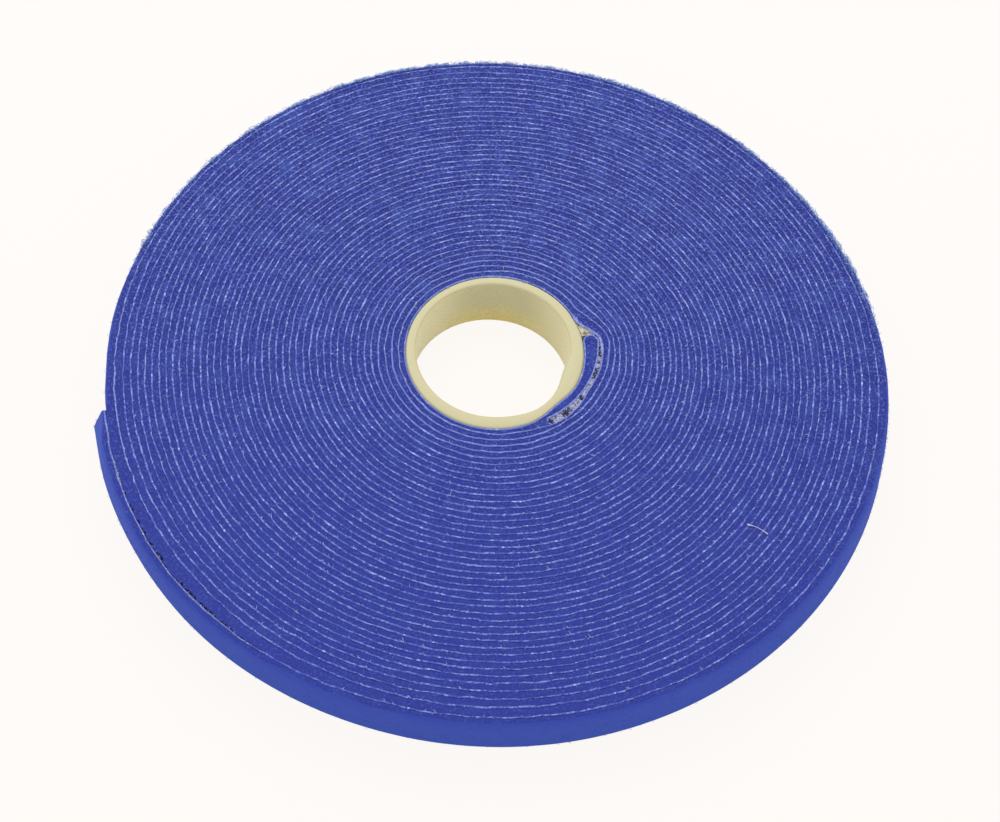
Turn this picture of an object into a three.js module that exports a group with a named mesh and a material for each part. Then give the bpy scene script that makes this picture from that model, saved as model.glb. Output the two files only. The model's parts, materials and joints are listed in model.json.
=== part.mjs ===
// A roll of hook and loop tape: one long tape of two plies, wound flat on a plastic core.
// The loop fabric is the outer ply of every wrap and the hook film is the inner one, towards the core.
// Units are millimetres, +Z is up, and the origin is on the core's axis in the plane the roll lies on.
import * as THREE from "three";

// Driving dimensions
const TAPE_WIDTH = 20;
const ROLL_RADIUS = 132.5;
const TAPE_PITCH = 2.28;
const CORE_RADIUS = 30.6;
const CORE_WALL = 4.1;
const CORE_CHAMFER = 0.6;
const FOLD_LENGTH = 37;
const FOLD_FILM = 0.5;
const TAIL_LENGTH = 90;
const END_SLANT = 5.5;
const EDGE_FLARE = 1.6;
const PIECE_GAP = 0.3;

// Angles in degrees, counter-clockwise from +X. From its free end the tape runs the same way, inwards.
const FREE_END_ANGLE = 195.5;
const FOLD_ANGLE = 16.5;
const TURN = 360;

// The real roll has 43.5 wraps. This many whole loops stand for them, with the part loop between the ends.
const WHOLE_LOOPS = 21;
const LOOPS = WHOLE_LOOPS + (FOLD_ANGLE + TURN - FREE_END_ANGLE) / TURN;
const TRUE_PITCH_LOOPS = 2.2;
const COARSE_STEPS = 24;
const FINE_STEPS = 48;
const CORE_STEPS = 64;
const TAIL_PIECES = 5;
const TAIL_PIECE_STEPS = 3;
const FOLD_STEPS = 8;
const NOSE_STEPS = 6;

// How many loops the core's round outline and the loose bottom edge reach into the winding
const HUG_LOOPS = 4;
const FLARE_LOOPS = 1.6;

// Shares: of a wrap's thickness, of the fold's thickness at its nose, and of a turn
const FABRIC_SHARE = 0.7;
const FOLD_TIP_SHARE = 0.72;
const CLIMB_SHARE = 0.1;

const degrees = Math.PI / (TURN / 2);
const coarseStep = TURN / COARSE_STEPS;
const fineStep = TURN / FINE_STEPS;

// The winding's innermost radius, at its corners, keeps the flats between them clear of the core.
const hugRadius = (CORE_RADIUS + PIECE_GAP) / Math.cos((coarseStep / 2) * degrees) - PIECE_GAP;

// The first wrap follows the core's round outline and climbs onto the next level over the folded start.
// Further out the climb spreads over the whole turn, until the tape is an even spiral.
function levels(loopsFromStart) {
  const part = loopsFromStart - Math.floor(loopsFromStart);
  const climb = THREE.MathUtils.smoothstep(part, 1 - CLIMB_SHARE, 1);
  const hug = Math.exp(-Math.max(loopsFromStart - 1, 0) / HUG_LOOPS);
  return loopsFromStart + (climb - part) * hug;
}

// Radius of the boundary outside the tape, counted in loops from its free end.
const hugBoundary = LOOPS + 1;
const trueDepth = TAPE_PITCH * TRUE_PITCH_LOOPS;
const loopPitch = (ROLL_RADIUS - trueDepth - hugRadius) / levels(hugBoundary - TRUE_PITCH_LOOPS);

function topRadius(loops) {
  if (loops <= TRUE_PITCH_LOOPS) return ROLL_RADIUS - TAPE_PITCH * loops;
  return hugRadius + loopPitch * levels(Math.max(hugBoundary - loops, 0));
}

// The outer wraps are loose and stand a little further out at their bottom edge.
function bottomRadius(loops) {
  return topRadius(loops) + EDGE_FLARE * Math.exp(-((loops / FLARE_LOOPS) ** 2));
}

// Outer and inner radius of each ply, where `boundary` is topRadius or bottomRadius.
const plies = {
  loop_fabric(boundary, loops) {
    const outer = boundary(loops);
    const free = outer - boundary(loops + 1) - 2 * PIECE_GAP;
    return [outer, outer - free * FABRIC_SHARE];
  },
  hook_film(boundary, loops) {
    const fabricInner = plies.loop_fabric(boundary, loops)[1];
    return [fabricInner - PIECE_GAP, boundary(loops + 1) + PIECE_GAP];
  },
};

function loopsAtAngle(angle) {
  return (angle - FREE_END_ANGLE) / TURN;
}

function atAngle(angle, radius, z) {
  return new THREE.Vector3(radius * Math.cos(angle * degrees), radius * Math.sin(angle * degrees), z);
}

// The four corners of the tape's section at an angle. The bottom edge may lie further round than the top one.
function section(ply, angle, bottomAngle = angle) {
  const [topOuter, topInner] = plies[ply](topRadius, loopsAtAngle(angle));
  const [bottomOuter, bottomInner] = plies[ply](bottomRadius, loopsAtAngle(angle));
  return [
    atAngle(bottomAngle, bottomInner, 0),
    atAngle(bottomAngle, bottomOuter, 0),
    atAngle(angle, topOuter, TAPE_WIDTH),
    atAngle(angle, topInner, TAPE_WIDTH),
  ];
}

// A section between two corners of the winding lies on the straight line between them.
function sectionOnChord(ply, angle, step) {
  const before = Math.floor(angle / step) * step;
  const [a, b] = [section(ply, before), section(ply, before + step)];
  const toward = atAngle(angle, 1, 0);
  return a.map((corner, i) => {
    const along = b[i].clone().sub(corner);
    const share = toward.clone().cross(corner).z / along.clone().cross(toward).z;
    return corner.clone().lerp(b[i], share);
  });
}

// A closed solid through sections that all have the same number of corners, listed counter-clockwise
// as seen looking along the way from the first section to the last.
function loft(sections) {
  const count = sections[0].length;
  const positions = sections.flat().flatMap((p) => [p.x, p.y, p.z]);
  const index = [];
  for (let s = 0; s + 1 < sections.length; s += 1) {
    for (let i = 0; i < count; i += 1) {
      const j = (i + 1) % count;
      const [a, b] = [s * count + i, s * count + j];
      index.push(a, b + count, b, a, a + count, b + count);
    }
  }
  const last = (sections.length - 1) * count;
  for (let i = 1; i + 1 < count; i += 1) {
    index.push(0, i, i + 1, last, last + i + 1, last + i);
  }
  const geometry = new THREE.BufferGeometry();
  geometry.setAttribute("position", new THREE.Float32BufferAttribute(positions, 3));
  geometry.setIndex(index);
  geometry.computeVertexNormals();
  return geometry;
}

const materials = {
  loop_fabric: new THREE.MeshStandardMaterial({ color: 0x3d4aa1, roughness: 0.95, metalness: 0 }),
  hook_film: new THREE.MeshStandardMaterial({ color: 0xbcc3ea, roughness: 0.55, metalness: 0 }),
  core: new THREE.MeshStandardMaterial({ color: 0xd6cda0, roughness: 0.5, metalness: 0 }),
};

const group = new THREE.Group();

function addMesh(name, geometry, material) {
  const mesh = new THREE.Mesh(geometry, material.clone());
  mesh.name = name;
  group.add(mesh);
}

// Core: a plain tube with broken edges, as wide as the tape.
function coreTube() {
  const bore = CORE_RADIUS - CORE_WALL;
  const profile = [
    [bore + CORE_CHAMFER, 0],
    [CORE_RADIUS - CORE_CHAMFER, 0],
    [CORE_RADIUS, CORE_CHAMFER],
    [CORE_RADIUS, TAPE_WIDTH - CORE_CHAMFER],
    [CORE_RADIUS - CORE_CHAMFER, TAPE_WIDTH],
    [bore + CORE_CHAMFER, TAPE_WIDTH],
    [bore, TAPE_WIDTH - CORE_CHAMFER],
    [bore, CORE_CHAMFER],
    [bore + CORE_CHAMFER, 0],
  ].map(([r, z]) => new THREE.Vector2(r, z));
  return new THREE.LatheGeometry(profile, CORE_STEPS).rotateX(Math.PI / 2);
}

// Winding: from the tail's root inwards to the tip of the folded start.
const tailSpan = TAIL_LENGTH / ROLL_RADIUS / degrees;
const gapSpan = PIECE_GAP / ROLL_RADIUS / degrees;
const foldBase = CORE_RADIUS + PIECE_GAP;
const foldSpan = FOLD_LENGTH / foldBase / degrees;
const foldGapSpan = PIECE_GAP / foldBase / degrees;
const windingStart = FREE_END_ANGLE + tailSpan + gapSpan / 2;
const windingEnd = FREE_END_ANGLE + LOOPS * TURN - foldSpan - foldGapSpan;

function windingSections(ply) {
  const coarseFrom = Math.ceil((windingStart + TURN) / coarseStep) * coarseStep;
  const sections = [section(ply, windingStart)];
  for (let a = Math.ceil(windingStart / fineStep) * fineStep; a < coarseFrom; a += fineStep) {
    sections.push(section(ply, a));
  }
  for (let a = coarseFrom; a < windingEnd; a += coarseStep) {
    sections.push(section(ply, a));
  }
  sections.push(sectionOnChord(ply, windingEnd, coarseStep));
  return sections;
}

// Least distance between corners of one ply that lie on different turns of it.
function leastGap(sections) {
  let least = Infinity;
  sections.forEach((mine, i) => {
    for (let k = i + 1; k < sections.length; k += 1) {
      if (k - i <= COARSE_STEPS / 2) continue;
      for (const p of mine) {
        for (const q of sections[k]) least = Math.min(least, p.distanceTo(q));
      }
    }
  });
  return least;
}

// Tail: the last stretch of the outer wrap up to its cut end, in pieces that hinge on each other.
// Piece 1 is next to the winding and the last one holds the free end, whose cut slants.
function tailSections(ply, piece) {
  const span = tailSpan / TAIL_PIECES;
  const from = FREE_END_ANGLE + tailSpan - (piece - 1) * span - gapSpan / 2;
  const atEnd = piece === TAIL_PIECES;
  const to = FREE_END_ANGLE + tailSpan - piece * span + (atEnd ? 0 : gapSpan / 2);
  const slantSpan = atEnd ? END_SLANT / ROLL_RADIUS / degrees : 0;
  const sections = [];
  for (let i = 0; i <= TAIL_PIECE_STEPS; i += 1) {
    const share = i / TAIL_PIECE_STEPS;
    const angle = to + (from - to) * share;
    sections.push(section(ply, angle, i === 0 ? angle - slantSpan : angle));
  }
  return sections;
}

// Folded start: the tape's inner end turned back on itself, loop side to loop side, beside the core.
// `along` runs clockwise from the fold's round nose and `out` is the distance from the fold's base radius.
const foldRoom = (hugRadius + loopPitch + PIECE_GAP) * Math.cos((coarseStep / 2) * degrees);
const noseThickness = foldRoom - PIECE_GAP - foldBase;

// The fold's outline set in from its faces: up the inner leg to the nose, round it, and down to the tip.
function foldPath(inset) {
  const middle = noseThickness / 2;
  const alongLeg = (share) => middle + (FOLD_LENGTH - middle) * share;
  const points = [];
  for (let i = FOLD_STEPS; i > 0; i -= 1) {
    points.push([alongLeg(i / FOLD_STEPS), inset]);
  }
  for (let i = 0; i <= NOSE_STEPS; i += 1) {
    const turn = (Math.PI * i) / NOSE_STEPS;
    points.push([middle - (middle - inset) * Math.sin(turn), middle - (middle - inset) * Math.cos(turn)]);
  }
  for (let i = 1; i <= FOLD_STEPS; i += 1) {
    const thinning = (1 - FOLD_TIP_SHARE) * (i / FOLD_STEPS);
    points.push([alongLeg(i / FOLD_STEPS), noseThickness * (1 - thinning) - inset]);
  }
  return points;
}

function foldPoint([along, out]) {
  const angle = FOLD_ANGLE * degrees - along / foldBase;
  return new THREE.Vector2((foldBase + out) * Math.cos(angle), (foldBase + out) * Math.sin(angle));
}

function foldSolid(path) {
  const shape = new THREE.Shape(path.map(foldPoint));
  return new THREE.ExtrudeGeometry(shape, { depth: TAPE_WIDTH, bevelEnabled: false });
}

const foldFilm = [...foldPath(0), ...foldPath(FOLD_FILM).reverse()];
const foldFabric = foldPath(FOLD_FILM + PIECE_GAP);

addMesh("core_tube", coreTube(), materials.core);
addMesh("start_fold_loop_fabric", foldSolid(foldFabric), materials.loop_fabric);
addMesh("start_fold_hook_film", foldSolid(foldFilm), materials.hook_film);
for (const ply of Object.keys(plies)) {
  const sections = windingSections(ply);
  console.log(`winding_${ply}: least gap to itself ${leastGap(sections).toFixed(2)} mm`);
  addMesh(`winding_${ply}`, loft(sections), materials[ply]);
  for (let piece = 1; piece <= TAIL_PIECES; piece += 1) {
    addMesh(`tail_${piece}_${ply}`, loft(tailSections(ply, piece)), materials[ply]);
  }
}

export default group;
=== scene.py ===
"""A roll of back-to-back hook and loop tape on a plastic core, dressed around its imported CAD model."""

import json
import math

import bpy
import numpy as np
from mathutils import Matrix, Vector


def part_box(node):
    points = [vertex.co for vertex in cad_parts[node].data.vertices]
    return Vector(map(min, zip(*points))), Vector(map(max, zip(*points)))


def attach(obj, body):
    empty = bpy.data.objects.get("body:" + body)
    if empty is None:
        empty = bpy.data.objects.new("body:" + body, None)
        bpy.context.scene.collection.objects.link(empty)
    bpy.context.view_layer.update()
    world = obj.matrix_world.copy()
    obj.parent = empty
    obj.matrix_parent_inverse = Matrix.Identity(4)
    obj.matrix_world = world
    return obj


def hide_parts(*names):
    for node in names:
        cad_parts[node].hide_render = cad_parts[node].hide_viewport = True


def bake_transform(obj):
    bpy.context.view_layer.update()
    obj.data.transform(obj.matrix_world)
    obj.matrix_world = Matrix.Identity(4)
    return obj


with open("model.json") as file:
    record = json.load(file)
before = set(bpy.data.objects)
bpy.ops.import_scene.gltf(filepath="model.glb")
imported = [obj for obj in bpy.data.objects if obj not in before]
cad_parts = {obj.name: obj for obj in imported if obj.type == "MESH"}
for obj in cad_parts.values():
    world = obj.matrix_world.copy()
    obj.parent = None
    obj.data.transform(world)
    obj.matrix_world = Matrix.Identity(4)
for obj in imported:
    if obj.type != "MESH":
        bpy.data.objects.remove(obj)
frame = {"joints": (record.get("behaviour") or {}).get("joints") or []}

bl_info = {
    "name": "Hook and Loop Tape Roll",
    "version": (1, 0, 0),
    "blender": (4, 5, 0),
    "location": "View3D > Sidebar > Tape Roll",
    "description": "Models a roll of hook and loop tape with its core, wraps, fibres and peeling free end",
    "category": "Add Mesh",
}

MM = 0.001
TURN = 2 * math.pi

# Read from the frame: the box, the core and the hinges of the free end, the first one next to the winding.
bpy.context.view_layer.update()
CORE_LOW, CORE_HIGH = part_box("core_tube")
JOINTS = sorted(frame["joints"], key=lambda joint: joint["name"])
HINGE_ANGLES = [math.atan2(joint["pos_m"][1], joint["pos_m"][0]) % TURN for joint in JOINTS]
SEGMENT_ANGLE = HINGE_ANGLES[-2] - HINGE_ANGLES[-1]
FREE_END_ANGLE = HINGE_ANGLES[-1] - SEGMENT_ANGLE
TAIL_BODIES = ["roll"] + [joint["child"] for joint in JOINTS]

# The tape's folded start lies beside the core. From the free end to its nose the tape makes this many turns.
FOLD_ANGLE = math.radians(16.5)
WHOLE_TURNS = 43
TURNS = WHOLE_TURNS + ((FOLD_ANGLE - FREE_END_ANGLE) % TURN) / TURN

# How the wraps depart from an even spiral: off centre and slightly oval, as soon as they are some turns out
CENTRE_X = 0.27 * MM
CENTRE_Y = -0.85 * MM
OVAL = 0.70 * MM
OVAL_ANGLE = math.radians(-14)
SETTLE_TURNS = 7.8

# The bulge that the folded start leaves in the wraps over it: its size, the turns over which it fades and
# what lasts, its place, and its width on either side, which is less on the first wraps
BULGE = 4.75 * MM
BULGE_TURNS = 11.1
BULGE_LASTING = 0.77 * MM
BULGE_ANGLE = math.radians(11)
BULGE_WIDTH_AHEAD = math.radians(21.5)
BULGE_WIDTH_BEHIND = math.radians(51)
STEEP_SHARE = 0.28
STEEP_WRAP = 1.9

# Near the fold single wraps depart further: how far, and where and how long in turns from the tape's start
NUDGES = (
    (1.4 * MM, 1.17, 0.035),
    (0.5 * MM, 0.984, 0.008),
    (0.75 * MM, 2.006, 0.03),
    (-0.5 * MM, 1.945, 0.02),
    (0.3 * MM, 3.005, 0.03),
    (-0.5 * MM, 1.1, 0.03),
    (-0.4 * MM, 2.1, 0.03),
    (-0.25 * MM, 3.1, 0.04),
)

# The first wrap lies smoothly on the core and climbs onto the fold between these turns from the start.
CLIMB_FROM = 0.955
CLIMB_TO = 1.013
SMOOTH_TURNS = 0.1

# The outer wraps are loose, and the free end stands off a little. Where nothing presses on it, the outermost
# wrap's pile is swollen in places. The lift and the swellings have their size, place and width in turns.
LOOSE = 2.04 * MM
LOOSE_TURNS = 1.34
LIFT = 1.72 * MM
LIFT_AT = 0.078
LIFT_TURNS = 0.067
SWELLINGS = ((1.1 * MM, 0.455, 0.06), (0.9 * MM, 0.957, 0.025))

# The outermost wrap's bottom edge lies further out than its top edge: a little all round, more on the
# right, and most of all near the free end. Each lean has its size, its place and its width in turns.
LEANS = (
    (0.2 * MM, 0.5, 1.0),
    (2.7 * MM, 0.412, 0.1),
    (3.0 * MM, 0.0, 0.045),
    (1.2 * MM, -0.007, 0.01),
)

# The free end is cut at a slant, and its pile is pinched along the cut: how far the bottom edge reaches past
# the top edge, the share of the pile's thickness that is lost, and how far along the tape either goes
CUT_SLANT = 5.5 * MM
CUT_REACH = 16 * MM
CUT_PINCH = 0.8
CUT_PINCH_REACH = 7 * MM

# The fold's thickness at its nose and at its tip, where its tip lies, and its dent in the core
FOLD_NOSE = 5.7 * MM
FOLD_TIP = 1.1 * MM
FOLD_TAPER = 1.1
FOLD_TIP_ANGLE = math.radians(-52.5)
DENT = 1.3 * MM
DENT_ANGLE = math.radians(-42)
DENT_WIDTH = math.radians(14)

# The bore runs a little askew: how far its centre is off the roll's axis at the core's top and foot
BORE_TOP_X = -0.5 * MM
BORE_TOP_Y = 0.85 * MM
BORE_FOOT_X = -0.9 * MM
BORE_FOOT_Y = -1.4 * MM

# The bore is a little wider to the sides at its foot. Beside the fold the wall is pushed inwards, and out
# again past the fold's tip: how far, where and how wide.
BORE_FOOT_WIDER = 1.0 * MM
BORE_PUSHES = (
    (1.9 * MM, math.radians(-14), math.radians(16)),
    (-0.9 * MM, math.radians(-52), math.radians(17)),
)

# Small irregularities: size and length along the tape, and how far the random values reach past its ends
WOBBLE = 0.17 * MM
WOBBLE_LENGTH = 5 * MM
RIPPLE = 0.12 * MM
RIPPLE_LENGTH = 2.0 * MM
EDGE_DROP = 0.16 * MM
EDGE_DROP_LENGTH = 60 * MM
FILM_DRIFT_LENGTH = 9 * MM
DRIFT_MARGIN = 50 * MM

# Room between the two plies, and between the pile and the next wrap's hooks. It is wider where the hooks
# show under the free end: how much, where, for how many turns and how raggedly. FILL_FROM is where the pile,
# free on the outermost wrap, starts to be pressed by the next one.
BOND = 0.01 * MM
HOOK_GAP = 0.02 * MM
OPEN_GAP = 1.05 * MM
OPEN_AT = 1.076
OPEN_TURNS = 0.042
OPEN_LENGTH = 1.5 * MM
OPEN_RAGS = (0.55, 1.2)
FILL_FROM = 0.955

# Seeds of the random values. The pile's face and edge have one for each row from theirs on.
SEEDS = {
    "wobble": 1,
    "ripple": 2,
    "edge": 4,
    "film edge": 5,
    "opening": 6,
    "film": 8,
    "loops": 11,
    "pile face": 20,
    "threads": 23,
    "pile edge": 40,
    "pits": 71,
    "tufts": 91,
}


def linear(hex_colour):
    """An sRGB hex colour as the linear values that the shaders read."""
    values = [int(hex_colour[i : i + 2], 16) / 255 for i in (0, 2, 4)]
    return tuple(v / 12.92 if v <= 0.04045 else ((v + 0.055) / 1.055) ** 2.4 for v in values)


def length(name, value, description):
    """A size in metres as an add-on property."""
    return bpy.props.FloatProperty(
        name=name, description=description, default=value, min=0, unit="LENGTH", precision=5
    )


def colour(name, hex_colour, description):
    """A colour as an add-on property, given in sRGB hex."""
    value = linear(hex_colour)
    return bpy.props.FloatVectorProperty(
        name=name, description=description, default=value, size=3, min=0, max=1, subtype="COLOR"
    )


def degrees(name, value, description):
    """An angle as an add-on property, given in degrees."""
    value = math.radians(value)
    return bpy.props.FloatProperty(name=name, description=description, default=value, unit="ROTATION")


def number(name, value, description):
    """A count as an add-on property."""
    return bpy.props.IntProperty(name=name, description=description, default=value, min=0)


class TapeSettings(bpy.types.PropertyGroup):
    """Sizes of the tape and its winding."""

    width: length("Width", CORE_HIGH.z - CORE_LOW.z, "Width of the tape, the height of the roll")
    outer_line: length("Outer radius", 129.03 * MM, "Radius of the film at the free end of an even spiral")
    pitch: length("Pitch", 2.292 * MM, "Distance between two wraps")
    film: length("Film", 0.47 * MM, "Thickness of the hook film")
    pile: length("Pile", 2.45 * MM, "Thickness of the loop fabric where nothing presses on it")
    step: length("Step", 1.5 * MM, "Length along the tape between two sections of the pile")
    film_step: length("Film step", 1.0 * MM, "Length along the tape between two sections of the film")


class CoreSettings(bpy.types.PropertyGroup):
    """Sizes of the core tube."""

    radius: length("Radius", CORE_HIGH.x, "Outer radius of the core")
    wall: length("Wall", 4.1 * MM, "Wall of the core")
    rounding: length("Rounding", 0.9 * MM, "Rounding of the core's edges")


class FibreSettings(bpy.types.PropertyGroup):
    """Sizes and numbers of the hooks, threads and loops."""

    hook_spacing: length("Hook spacing", 1.1 * MM, "Distance between two hooks")
    hook_height: length("Hook height", 0.5 * MM, "How far a hook stands off the film")
    hook_thickness: length("Hook thickness", 0.17 * MM, "Thickness of a hook's stem")
    fold_hook_spacing: length("Fold hook spacing", 1.8 * MM, "Distance between two hooks at the fold")
    fold_hook_height: length("Fold hook height", 1.0 * MM, "How far the hooks at the fold reach")
    fold_hook_thickness: length("Fold hook thickness", 0.26 * MM, "Thickness of a hook's stem at the fold")
    thread_thickness: length("Thread thickness", 0.18 * MM, "Thickness of a thread on a wrap's edge")
    loop_thickness: length("Loop thickness", 0.08 * MM, "Thickness of a loop on the outermost wrap's face")
    shoulder_loop_thickness: length("Shoulder loop thickness", 0.12 * MM, "Thickness of a shoulder loop")
    edge_loop_thickness: length("Edge loop thickness", 0.13 * MM, "Thickness of a loop on the top edges")
    fray_thickness: length("Fray thickness", 0.3 * MM, "Thickness of a shred of the film's edge")
    stray_thickness: length("Stray thread thickness", 0.26 * MM, "Thickness of the one loose thread")
    frays: number("Frays", 1500, "Shreds of the film's edge, besides those where it is frayed most")
    threads: number("Threads", 4200, "Loose threads on the wraps' top edges")
    face_loops: number("Face loops", 900, "Loops on the outermost wrap's face")
    shoulder_loops: number("Shoulder loops", 15000, "Loops tried on the outermost wrap's shoulder")
    edge_loops: number("Edge loops", 14000, "Loops on the wraps' top edges")


class FinishSettings(bpy.types.PropertyGroup):
    """Colours of the materials."""

    pile: colour("Pile", "2B3A9F", "The loop pile's cut edge")
    # Painted shade between the pile's fibres, also the darkest random tone of single loops
    pile_deep: colour("Pile, deep", "1C2874", "The loop pile between its fibres")
    # Partly painted light: paler than the cut edge, making up for the lesser light on the side
    pile_face: colour("Pile, face", "364DB9", "The loop pile's brushed face")
    loop: colour("Loop", "6676D0", "The palest single loops of the pile")
    film: colour("Film", "94A4EA", "The hook film's cut edge")
    film_worn: colour("Film, covered", "3444A8", "The hook film where fibres cover its edge")
    thread: colour("Thread", "B2BEF2", "Loose pale threads")
    glint: colour("Glint", "B4C8FF", "The film's brightest spots")
    thread_bleached: colour("Thread, bleached", "D6D6F2", "The one loose thread")
    hook: colour("Hook", "D3CCB2", "The moulded hooks")
    # Painted shade in the gaps between the hooks' stems
    hook_shade: colour("Hook, shaded", "8E8868", "The moulded hooks further down")
    field_deep: colour("Hook field, deep", "34343C", "The field of hooks between its stems")
    field: colour("Hook field", "A8ACD2", "The field of hooks where it is worn and blue shows through")
    hook_lit: colour("Hook, lit", "ECE9DE", "The hooks around the folded start")
    core: colour("Core", "CCC59A", "The core's plastic")
    core_shade: colour("Core, upper bore", "D2CCA5", "The plastic in the upper part of the bore")
    # Painted light at the sides and the foot of the bore
    core_side: colour("Core, sides of the bore", "F1E9BE", "The plastic at the sides of the bore")
    core_foot: colour("Core, lower bore", "EBDA88", "The plastic low in the bore, where light comes through")
    pile_patch: colour("Pile, brushed flat", "4C69BE", "The loop pile's edge where it is brushed flat")
    # Fringe is also the colour of the face's painted sheen at grazing angles
    fringe: colour("Fringe", "3A68CE", "The pile where its loops stand out against the light")
    # Painted light: the light that shines through the loops that stand against the light
    fringe_lit: colour("Fringe, lit", "A6D0FF", "The palest single loops against the light")
    floor: colour("Floor", "FFFCF9", "Floor and background")


class StageSettings(bpy.types.PropertyGroup):
    """Camera and light."""

    lens: bpy.props.FloatProperty(name="Lens", description="Focal length", default=59.92, unit="CAMERA")
    elevation: degrees("Elevation", 59.871, "Angle of the camera above the floor")
    roll: degrees("Roll", 4.575, "Turn of the camera about its own axis")
    distance: length("Distance", 555.95 * MM, "Distance of the camera from its target")
    floor: length("Floor", 6.0, "Side of the floor")
    sky: bpy.props.FloatProperty(name="Sky", description="Strength of the even light", default=0.74, min=0)
    lamp: bpy.props.FloatProperty(
        name="Lamp", description="Power of the soft lamp behind the roll", default=4, min=0, unit="POWER"
    )


class RollSettings(bpy.types.PropertyGroup):
    """All settings of the roll."""

    tape: bpy.props.PointerProperty(name="Tape", description="Sizes of the tape", type=TapeSettings)
    core: bpy.props.PointerProperty(name="Core", description="Sizes of the core tube", type=CoreSettings)
    fibres: bpy.props.PointerProperty(name="Fibres", description="Sizes of the fibres", type=FibreSettings)
    finish: bpy.props.PointerProperty(name="Finish", description="Colours", type=FinishSettings)
    stage: bpy.props.PointerProperty(name="Stage", description="Camera and light", type=StageSettings)


# Where the tape lies. `turns` counts inwards from its free end, and `inner` outwards from its folded start.


def smooth(share):
    """Eases a share from 0 to 1."""
    share = np.clip(share, 0, 1)
    return share * share * (3 - 2 * share)


def grown(sizes, share):
    """The first size, grown by a share of the second."""
    least, more = sizes
    return least + more * share


def tape_angle(turns):
    """Angle around the roll at these turns from the free end."""
    return FREE_END_ANGLE + TURN * turns


def tape_length(tape, turns):
    """Length of the tape from its free end."""
    return TURN * (tape.outer_line * turns - tape.pitch * turns**2 / 2)


def turns_at(tape, distance):
    """Turns from the free end at a length along the tape."""
    start = tape.outer_line
    return (start - np.sqrt(start**2 - tape.pitch * distance / math.pi)) / tape.pitch


def drift(tape, turns, wavelength, seed):
    """A smooth random value from -1 to 1 along the tape, the same at the same place on each run."""
    at = (tape_length(tape, turns) + DRIFT_MARGIN) / wavelength
    count = int((tape_length(tape, TURNS) + 2 * DRIFT_MARGIN) / wavelength) + 2
    knots = np.random.default_rng(seed).uniform(-1, 1, count)
    before = np.clip(np.floor(at).astype(int), 0, count - 2)
    share = smooth(at - before)
    return knots[before] * (1 - share) + knots[before + 1] * share


def core_edge(roll, angle):
    """Outer radius of the core, which the folded start dents a little."""
    off = (angle - DENT_ANGLE + math.pi) % TURN - math.pi
    return roll.core.radius - DENT * np.exp(-((off / DENT_WIDTH) ** 2))


def even_radius(roll, turns):
    """Radius of the film's middle at the tape's top edge, without its small irregularities."""
    tape = roll.tape
    turns = np.asarray(turns, float)
    angle = tape_angle(turns)
    inner = np.maximum(TURNS - turns, 0)
    radius = tape.outer_line - tape.pitch * turns
    settled = 1 - np.exp(-inner / SETTLE_TURNS)
    outline = CENTRE_X * np.cos(angle) + CENTRE_Y * np.sin(angle)
    outline = outline + OVAL * np.cos(2 * (angle - OVAL_ANGLE))
    radius = radius + settled * outline
    off = (angle - BULGE_ANGLE + math.pi) % TURN - math.pi
    steep = 1 - STEEP_SHARE * np.exp(STEEP_WRAP - np.maximum(inner, STEEP_WRAP))
    width = np.where(off > 0, BULGE_WIDTH_AHEAD * steep, BULGE_WIDTH_BEHIND)
    bulge = BULGE * np.exp(-inner / BULGE_TURNS) + BULGE_LASTING
    radius = radius + bulge * np.exp(-((off / width) ** 2))
    radius = radius + LOOSE * np.exp(-turns / LOOSE_TURNS)
    radius = radius + LIFT * np.exp(-(((turns - LIFT_AT) / LIFT_TURNS) ** 2))
    for most, at, turns_wide in NUDGES:
        radius = radius + most * np.exp(-(((inner - at) / turns_wide) ** 2))
    on_core = core_edge(roll, angle) + tape.film / 2
    climb = smooth((inner - CLIMB_FROM) / (CLIMB_TO - CLIMB_FROM))
    return on_core + np.maximum(radius - on_core, 0) * climb


def film_radius(roll, turns):
    """Radius of the film's middle at the tape's top edge."""
    turns = np.asarray(turns, float)
    wobble = WOBBLE * drift(roll.tape, turns, WOBBLE_LENGTH, SEEDS["wobble"])
    ripple = RIPPLE * drift(roll.tape, turns, RIPPLE_LENGTH, SEEDS["ripple"])
    loose = smooth((TURNS - turns - CLIMB_TO) / SMOOTH_TURNS)
    return even_radius(roll, turns) + (wobble + ripple) * loose


def pile_radii(roll, turns, ragged=True):
    """Inner and outer radius of the pile at the tape's top edge. It fills the room inside the next wrap out.

    Where that wrap stands off under the free end, the top of the pile is ragged and its face below isn't.
    """
    tape = roll.tape
    inside = film_radius(roll, turns) + tape.film / 2 + BOND
    free = even_radius(roll, turns) + tape.film / 2 + tape.pile
    for most, at, turns_wide in SWELLINGS:
        free = free + most * np.exp(-(((turns - at) / turns_wide) ** 2))
    open_share = np.exp(-(((turns - OPEN_AT) / OPEN_TURNS) ** 2))
    uneven = drift(tape, turns, OPEN_LENGTH, SEEDS["opening"]) if ragged else 0
    gap = HOOK_GAP + OPEN_GAP * open_share * smooth(grown(OPEN_RAGS, uneven))
    above = film_radius(roll, np.maximum(turns - 1, 0)) - tape.film / 2 - gap
    return inside, free + (above - free) * smooth((turns - FILL_FROM) / (1 - FILL_FROM))


def edge_height(roll, turns):
    """Height of the tape's top edge, which isn't quite level from wrap to wrap."""
    drop = 0.5 + 0.5 * drift(roll.tape, turns, EDGE_DROP_LENGTH, SEEDS["edge"])
    return roll.tape.width - EDGE_DROP * drop


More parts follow.
